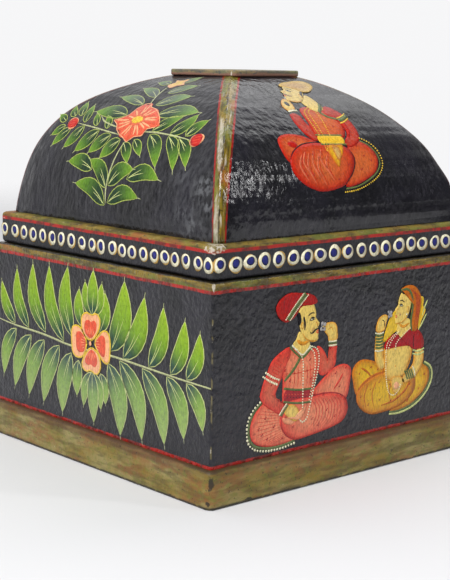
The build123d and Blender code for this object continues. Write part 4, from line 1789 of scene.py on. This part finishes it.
    def arms(self) -> Marks:
        """Both arms with their bangles, the hands and the flower."""
        yield Limb([(31.8, 98), (31.9, 88), (32.8, 78), (37.4, 71)], (7.4, 8.6, 9.4, 9), Ink.SKIN,
            Ink.SKIN_SHADE, 3)
        yield Limb([(74.4, 80), (75, 73), (72.4, 66.8), (65.9, 62), (57.9, 58.6)], (11.4, 11, 9.6, 8, 6),
            Ink.SKIN, Ink.SKIN_SHADE, 9)
        for level in (95.6, 93.4, 91.2, 89, 86.8):
            yield Thread([(27.9, level), (31.8, level - 0.8), (36, level - 0.4)], 1.5, Ink.BORDER, 5, 1,
                1)
        for level in (97.2, 84.6):
            yield Thread([(27.6, level), (31.8, level - 0.9), (36.4, level - 0.4)], 1.0, Ink.PEARL, 6, 1,
                1)
        for across in (68.4, 66.2, 64, 61.8):
            yield Thread([(across - 1.9, 66.6 - 0.12 * (68.4 - across)), (across, 63), (across + 1.6, 59)],
                1.5, Ink.BORDER, 11, 1, 1)
        yield Stroke([(68.4, 68.2), (70.6, 64.6), (71.8, 60)], 1.0, Ink.PEARL, 11, 1, 1)
        for rise in (0, -2.6):
            yield Stroke([(68.2, 80 + rise), (74.4, 78.6 + rise), (80.6, 80 + rise)], 1.2, Ink.LEAF_LINE,
                11, 1, 1)
        yield Cloth([(28.6, 98), (28.8, 103.6), (31.6, 108), (36.6, 109.6), (40, 108), (38.4, 103),
            (36.6, 98)], Ink.SKIN, Ink.SKIN_SHADE, 5, bloom=4)
        yield Stroke([(34, 106), (36.6, 104.4), (36.2, 100)], 0.7, Ink.HAIR, 6)
        for spot in ((41.6, 109.4), (43.2, 110.6), (40.6, 111), (43.4, 108.2), (41.2, 107.8)):
            yield Dot(spot, 2.1, 2.3, Ink.SILVER, 15)
        yield Cloth([(46, 62.4), (54, 62.8), (59.6, 59), (57, 53.6), (51, 50), (46.6, 55)], Ink.SKIN,
            Ink.SKIN_SHADE, 9, bloom=4)
        yield Dot((51.6, 56), 5.4, 6, Ink.PEACH, 10)

    def hair(self) -> Marks:
        """The dark hair under the veil's edge and the ear ring."""
        head = self.head
        yield head.line([(0.28, 0.84), (0.12, 0.84), (-0.04, 0.74)], 0.1, Ink.HAIR, 2)
        yield Bead(head.spot(-0.07, 0.3), 1.6, Ink.PEARL, 16)

    def jewels(self) -> Marks:
        """The strings of pearls and the dots on the skirt."""
        yield Pearls([(64.4, 96.6), (57, 92.6), (50, 87.4), (49.4, 83.4)], 1.6, 1.1)
        yield Pearls([(52, 95.4), (44.6, 92), (40, 87), (39.4, 76), (40.4, 63), (43.4, 52.6), (48.4, 49.4),
            (53.4, 51.4), (56, 56)], 1.6, 1.1)
        yield Pearls([(50, 93.6), (45, 90), (42, 85)], 1.6, 1.1)
        yield Specks([(12, 70), (24, 73), (31, 70.6), (14, 53), (24, 57), (33, 61), (44, 58), (22, 46),
            (34, 48), (46, 46), (60, 50), (66, 55), (82, 60), (76, 50), (64, 42.6)], 1.0)


@dataclass(frozen=True)
class Courtier(Motif):
    """A seated courtier in scarlet on a curved panel, a flower raised in one hand."""

    head: CourtHead = CourtHead((0.4, 114.5), 30, 34, -1)

    def marks(self) -> Marks:
        """The courtier, from the back to the front."""
        yield Cloth([(13.6, 63.4), (26.8, 67.5), (34.5, 63.6), (39.2, 57.2), (38.7, 50), (33.3, 42.8),
            (23.5, 37.5), (11.2, 33.2), (1.2, 32.6), (5.1, 44.4), (9.2, 55)], Ink.EMBER, Ink.SCARLET, 1,
            bloom=3)
        yield Stroke([(28.1, 67.9), (35.7, 63.9), (40.5, 56.4), (40.5, 49.4), (34.1, 42), (23.9, 36.3),
            (12.8, 32.2), (1.2, 30.8)], 1.2, Ink.BORDER, 2, 1, 1)
        yield Pearls([(29.5, 70), (37.3, 66), (42.7, 58.4), (42.8, 48.5), (35.3, 39.6), (24.4, 33.7),
            (12.3, 29.6), (-0.1, 28.3)], 2.0, 1.35, Ink.YELLOW)
        yield Cloth([(-50.5, 67.7), (-46.1, 71.6), (-37.9, 73.3), (-27.5, 72.2), (-19, 68.7),
            (-14.7, 65.4), (-26.5, 59), (-39.7, 51.9), (-47.4, 51.9), (-50.8, 58.9)], Ink.EMBER,
            Ink.SCARLET, 2, bloom=2.2)
        yield Dot((-38.7, 64.8), 9, 5, Ink.SCARLET, 3)
        yield Limb([(-17.6, 92.6), (-18.6, 83.9), (-16.2, 75.9), (-11.6, 68.7)], (9, 11, 12, 10),
            Ink.RUSSET, Ink.SCARLET, 3)
        yield Cloth([(-8.9, 96.3), (-0.8, 99.3), (5, 97), (13.8, 96.1), (20.1, 87.8), (21.5, 81.1),
            (13.2, 69.7), (-11.2, 68.8), (-10.8, 83.4)], Ink.EMBER, Ink.SCARLET, 4, bloom=3)
        yield from self.lap()
        yield Limb([(12.5, 96.5), (20.7, 92), (25.3, 86), (26.5, 79), (25, 72.4), (17.8, 66.7),
            (12.1, 64.6)], (10, 12, 11.5, 11.5, 11, 8, 5.5), Ink.RUSSET, Ink.SCARLET, 8)
        yield Stroke([(17, 92.1), (23, 86), (23.8, 77.1), (18.9, 70.1)], 1.6, Ink.SCARLET, 9, 0.4, 0.2)
        yield Stroke([(20.5, 85.7), (26.1, 87.5), (31.5, 90.2)], 3.0, Ink.BORDER, 10, 1, 1)
        for rise in (2.2, -2.4):
            yield Stroke([(20.2, 85.6 + rise), (26, 87.4 + rise), (31.5, 90.2 + rise)], 0.9, Ink.YELLOW,
                11, 1, 1)
        yield from self.neck_and_hand()
        yield self.head
        yield from self.turban()
        yield from self.jewels()

    def lap(self) -> Marks:
        """The near leg with its folds, the sash and its hanging end."""
        yield Cloth([(-46.6, 53.1), (-43.1, 58.3), (-34.8, 63.6), (-24.2, 65.5), (-12.7, 65.7),
            (-2.1, 64.5), (6.9, 63.8), (13.5, 60.2), (14.7, 52), (9.8, 42.7), (1.6, 34.4), (-8.4, 31),
            (-20.6, 29.7), (-30.4, 32), (-39.8, 37.1), (-46.3, 44.5)], Ink.EMBER, Ink.SCARLET, 6,
            (-13, 48.1), bloom=1.9)
        yield Stroke([(-46.3, 53.7), (-40.4, 59.7), (-30.8, 64.6), (-19.3, 66.3), (-12.3, 66.4)], 0.8,
            Ink.HAIR, 7)
        yield Stroke([(13.2, 60.4), (15.1, 53.2), (10.3, 43.3), (0.7, 33.7)], 0.8, Ink.HAIR, 7)
        for across, top, foot in ((-38, 57, 38), (-34, 59, 41), (-31, 58, 35), (-26, 60, 38),
            (-22, 58, 34), (-18, 61, 43), (-14, 57, 37)):
            middle = (top + foot) / 2
            yield Stroke([(across + 3.5, top), (across - 0.5, middle + 1), (across + 4.5, foot)], 1.3,
                Ink.ORANGE, 7, 0.2, 0.1)
            yield Stroke([(across + 5, top + 2), (across + 1.6, middle), (across + 7.5, foot - 2)], 0.5,
                Ink.SCARLET, 7, 0.2, 0.1)
        yield Limb([(-12.2, 68.6), (0.2, 68.6), (12.9, 68.6)], (8, 7.6, 7.4), Ink.SAFFRON, Ink.YELLOW, 7)
        yield Cloth([(-4.1, 64.8), (1.9, 64.5), (8.5, 64.3), (5.7, 58), (1, 52.7), (-2.6, 46.9),
            (-6.7, 53.5), (-8.2, 59.5)], Ink.SAFFRON, Ink.AMBER, 8)
        yield Cloth([(-2.7, 63.1), (3.2, 62.7), (3.3, 56.7), (-0.9, 51.7), (-2.8, 56.3)], Ink.OCHRE,
            Ink.AMBER, 9)
        for rise in (4, -3.8):
            yield Stroke([(-12.3, 68.6 + rise), (0.2, 68.6 + rise), (13.3, 68.5 + rise)], 1.2, Ink.BORDER,
                8, 1, 1)

    def neck_and_hand(self) -> Marks:
        """The neck, the neckline, the raised hand and its flower."""
        yield Cloth([(0.1, 106), (10.3, 112.1), (14, 103.5), (14.4, 97), (6.3, 94.2), (1.5, 98.3)],
            Ink.SKIN, Ink.SKIN, 9)
        yield Stroke([(14.8, 102.1), (12.1, 97.9), (7.9, 93.8)], 2.6, Ink.BORDER, 10, 1, 1)
        yield Stroke([(8, 93.8), (12.2, 89.6), (20.3, 86.8)], 1.8, Ink.BORDER, 9, 1, 1)
        yield Cloth([(-20.7, 94.4), (-22.9, 99.5), (-18.5, 105.9), (-12.6, 108.2), (-11, 103.5),
            (-13.6, 95.8)], Ink.SKIN, Ink.SKIN_SHADE, 9, bloom=4)
        yield Dot((-16.3, 102.2), 4, 5, Ink.BLACK, 10)
        yield Stroke([(-21.6, 93.9), (-16.8, 95.2), (-12.1, 95.3)], 1.6, Ink.PEARL, 10, 1, 1)
        yield Dot((-11.8, 108.6), 3, 3, Ink.SILVER, 11)

    def turban(self) -> Marks:
        """The ochre turban and its folds."""
        yield Cloth([(-4.2, 124.7), (1.2, 128.9), (9.6, 131), (19.2, 132.9), (27.9, 132), (30.4, 126.3),
            (25.4, 120.5), (17.5, 116.3), (10.9, 116.1), (7.2, 119.7), (1.9, 122.4)], Ink.OCHRE,
            Ink.SAFFRON, 16, (14.6, 124))
        for step in range(5):
            yield Stroke([(-1 + 4 * step, 126 + 1.2 * step), (6.4 + 3.4 * step, 121 + step),
                (10.5 + 2.8 * step, 117 + 1.4 * step)], 0.5, Ink.AMBER, 17, 0.3, 0.3)
        yield self.head.line([(-0.13, 0.72), (-0.1, 0.55), (-0.12, 0.42)], 0.06, Ink.HAIR, 3)
        yield self.head.line([(0.37, 0.245), (0.28, 0.25), (0.2, 0.215)], 0.03, Ink.HAIR, 4)

    def jewels(self) -> Marks:
        """The strings of pearls and the dots on the robe."""
        for string in (((0.3, 98.3), (-6, 94.1), (-7.7, 86.5), (-8.1, 77.3), (-8.8, 69.5), (-9.2, 60.1)),
            ((2.8, 97.5), (-2.5, 93.4), (-3.9, 82), (-5.8, 67.4), (-8.6, 59.5)), ((5, 93.8), (4.9, 87.2),
            (2.5, 76.1), (0.4, 66.1))):
            yield Pearls(string, 1.5, 1.05, Ink.YELLOW)
        yield Specks([(-28, 41.8), (-4.8, 37.8), (-13.1, 52.2), (-24.6, 57), (7.1, 48.7), (25.5, 55.4),
            (19.3, 44.8), (31.9, 51.6), (-33.7, 68), (-41.8, 63.8), (22, 63.6), (20.1, 78), (10.7, 80),
            (-14.1, 85.2), (-17.5, 76.9)], 1.0)


# ---------------------------------------- sub-assemblies


@dataclass(frozen=True)
class DomeShell:
    """The paper panels of the dome, cut finer and bent as the hand left them."""

    shape: HandShape
    strip: float = 4.0
    weld: float = 0.01
    flat_angle: float = 0.05
    smooth_angle: float = 40.0

    def build(self, side: Side, material: bpy.types.Material) -> None:
        """Makes one bent panel from the true one.

        Args:
            side: Which side it closes.
            material: Its finish.
        """
        true_name = f"dome_panel_{side.label}"
        piece = put(f"dome_shell_{side.label}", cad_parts[true_name].data.copy())
        self.cut(math.radians(side.value))
        mesh = piece.data
        spots = np.empty(3 * len(mesh.vertices))
        mesh.vertices.foreach_get("co", spots)
        kept = mesh.attributes.new(TRUE_PLACE, "FLOAT_VECTOR", "POINT")
        kept.data.foreach_set("vector", spots / MM)
        mesh.vertices.foreach_set("co", self.shape.bend(spots.reshape(-1, 3)).ravel())
        mesh.update()
        bpy.ops.object.shade_smooth_by_angle(angle=math.radians(self.smooth_angle))
        mesh.materials.clear()
        mesh.materials.append(material)
        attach(piece, "lid")
        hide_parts(true_name)
        log.info("%s bent from %s with %d faces", piece.name, true_name, len(mesh.polygons))

    def cut(self, turn: float) -> None:
        """Cuts the selected panel into strips that can bend."""
        along = Vector((math.cos(turn), math.sin(turn), 0))
        bpy.ops.object.mode_set(mode="EDIT")
        bpy.ops.mesh.select_all(action="SELECT")
        bpy.ops.mesh.remove_doubles(threshold=self.weld * MM)
        bpy.ops.mesh.dissolve_limited(angle_limit=math.radians(self.flat_angle))
        for place in np.arange(-self.shape.half, self.shape.half, self.strip):
            bpy.ops.mesh.select_all(action="SELECT")
            bpy.ops.mesh.bisect(plane_co=along * place * MM, plane_no=along)
        bpy.ops.object.mode_set(mode="OBJECT")


@dataclass
class SubAssembly:
    """A part of the box that the painter lacquers and then decorates."""

    stencils: Stencils
    pigment: bpy.types.Material
    slot: str = "black_lacquer"

    def dress(self, prefix: str, finish: Finish) -> None:
        """Gives a finish to every frame node whose name starts so.

        Args:
            prefix: Start of the nodes' names.
            finish: What they are painted with.
        """
        material = finish.make()
        for name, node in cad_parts.items():
            if name.startswith(prefix):
                for slot in node.material_slots:
                    slot.material = material
                if not node.material_slots:
                    node.data.materials.append(material)
                log.info("%s dressed in %s", name, material.name)

    def picture(self, name: str, canvas: Canvas, seed: int, *motifs: Motif) -> None:
        """Paints a picture on one face.

        Args:
            name: What the picture is called; the side's name follows.
            canvas: The face.
            seed: Which unsteadiness of the hand is drawn.
            motifs: What is painted, in order.
        """
        painting = Painting(f"{name}_{canvas.side.label}", canvas, self.stencils, seed)
        for motif in motifs:
            motif.paint(painting)
        painting.finish(self.pigment, self.slot)


@dataclass
class BoxBody(SubAssembly):
    """The square body: bottom board, plinth, walls and the lips inside them."""

    spray_seed: int = 20
    court_seed: int = 50

    def build(self) -> None:
        """Lacquers the body and paints its four walls."""
        for prefix, finish in (("wall_", WallFinish()), ("plinth_", PlinthFinish()),
                               ("lip_", LiningFinish()), ("bottom_board", LiningFinish())):
            self.dress(prefix, finish)
        for number, side in enumerate((Side.LEFT, Side.RIGHT)):
            self.picture("leaf_spray", upright_canvas(side, "wall", "base"),
                         self.spray_seed + number, WallSpray())
        for number, side in enumerate((Side.FRONT, Side.BACK)):
            self.picture("court_pair", upright_canvas(side, "wall", "base"),
                         self.court_seed + number, Nobleman(), Lady())


@dataclass
class Lid(SubAssembly):
    """The lid: collar, ledge, bent paper dome and cap."""

    shape: HandShape = HandShape()
    plant_seed: int = 30
    ring_seed: int = 40
    courtier_seed: int = 60

    def build(self) -> None:
        """Lacquers the lid, bends its dome, and paints the dome and the collar."""
        for prefix, finish in (("collar_", CollarFinish()), ("ledge_", LedgeFinish()),
                               ("cap_plate", CapFinish())):
            self.dress(prefix, finish)
        lacquer = DomeFinish(centre=self.shape.centre).make()
        for side in Side:
            DomeShell(self.shape).build(side, lacquer)
        for name, seed, motif, sides in (
                ("peony_plant", self.plant_seed, DomePlant(), (Side.LEFT, Side.RIGHT)),
                ("courtier", self.courtier_seed, Courtier(), (Side.FRONT, Side.BACK))):
            for number, side in enumerate(sides):
                self.picture(name, dome_canvas(side, self.shape), seed + number, motif)
        for number, side in enumerate(Side):
            rings = (RingDots(21, crowding=0.14) if side in (Side.LEFT, Side.RIGHT)
                     else RingDots(19, 11.4, 10.4))
            self.picture("ring_dots", upright_canvas(side, "collar", "lid"),
                         self.ring_seed + number, rings)


def main() -> None:
    """Sets up the studio, then builds the body and the lid."""
    logging.basicConfig(level=logging.INFO, format="%(name)s: %(message)s")
    Studio().build()
    stencils = Stencils()
    pigment = PigmentFinish().make()
    for part in (BoxBody(stencils, pigment), Lid(stencils, pigment)):
        part.build()
        log.info("%s is ready", type(part).__name__)


if __name__ == "__main__":
    main()
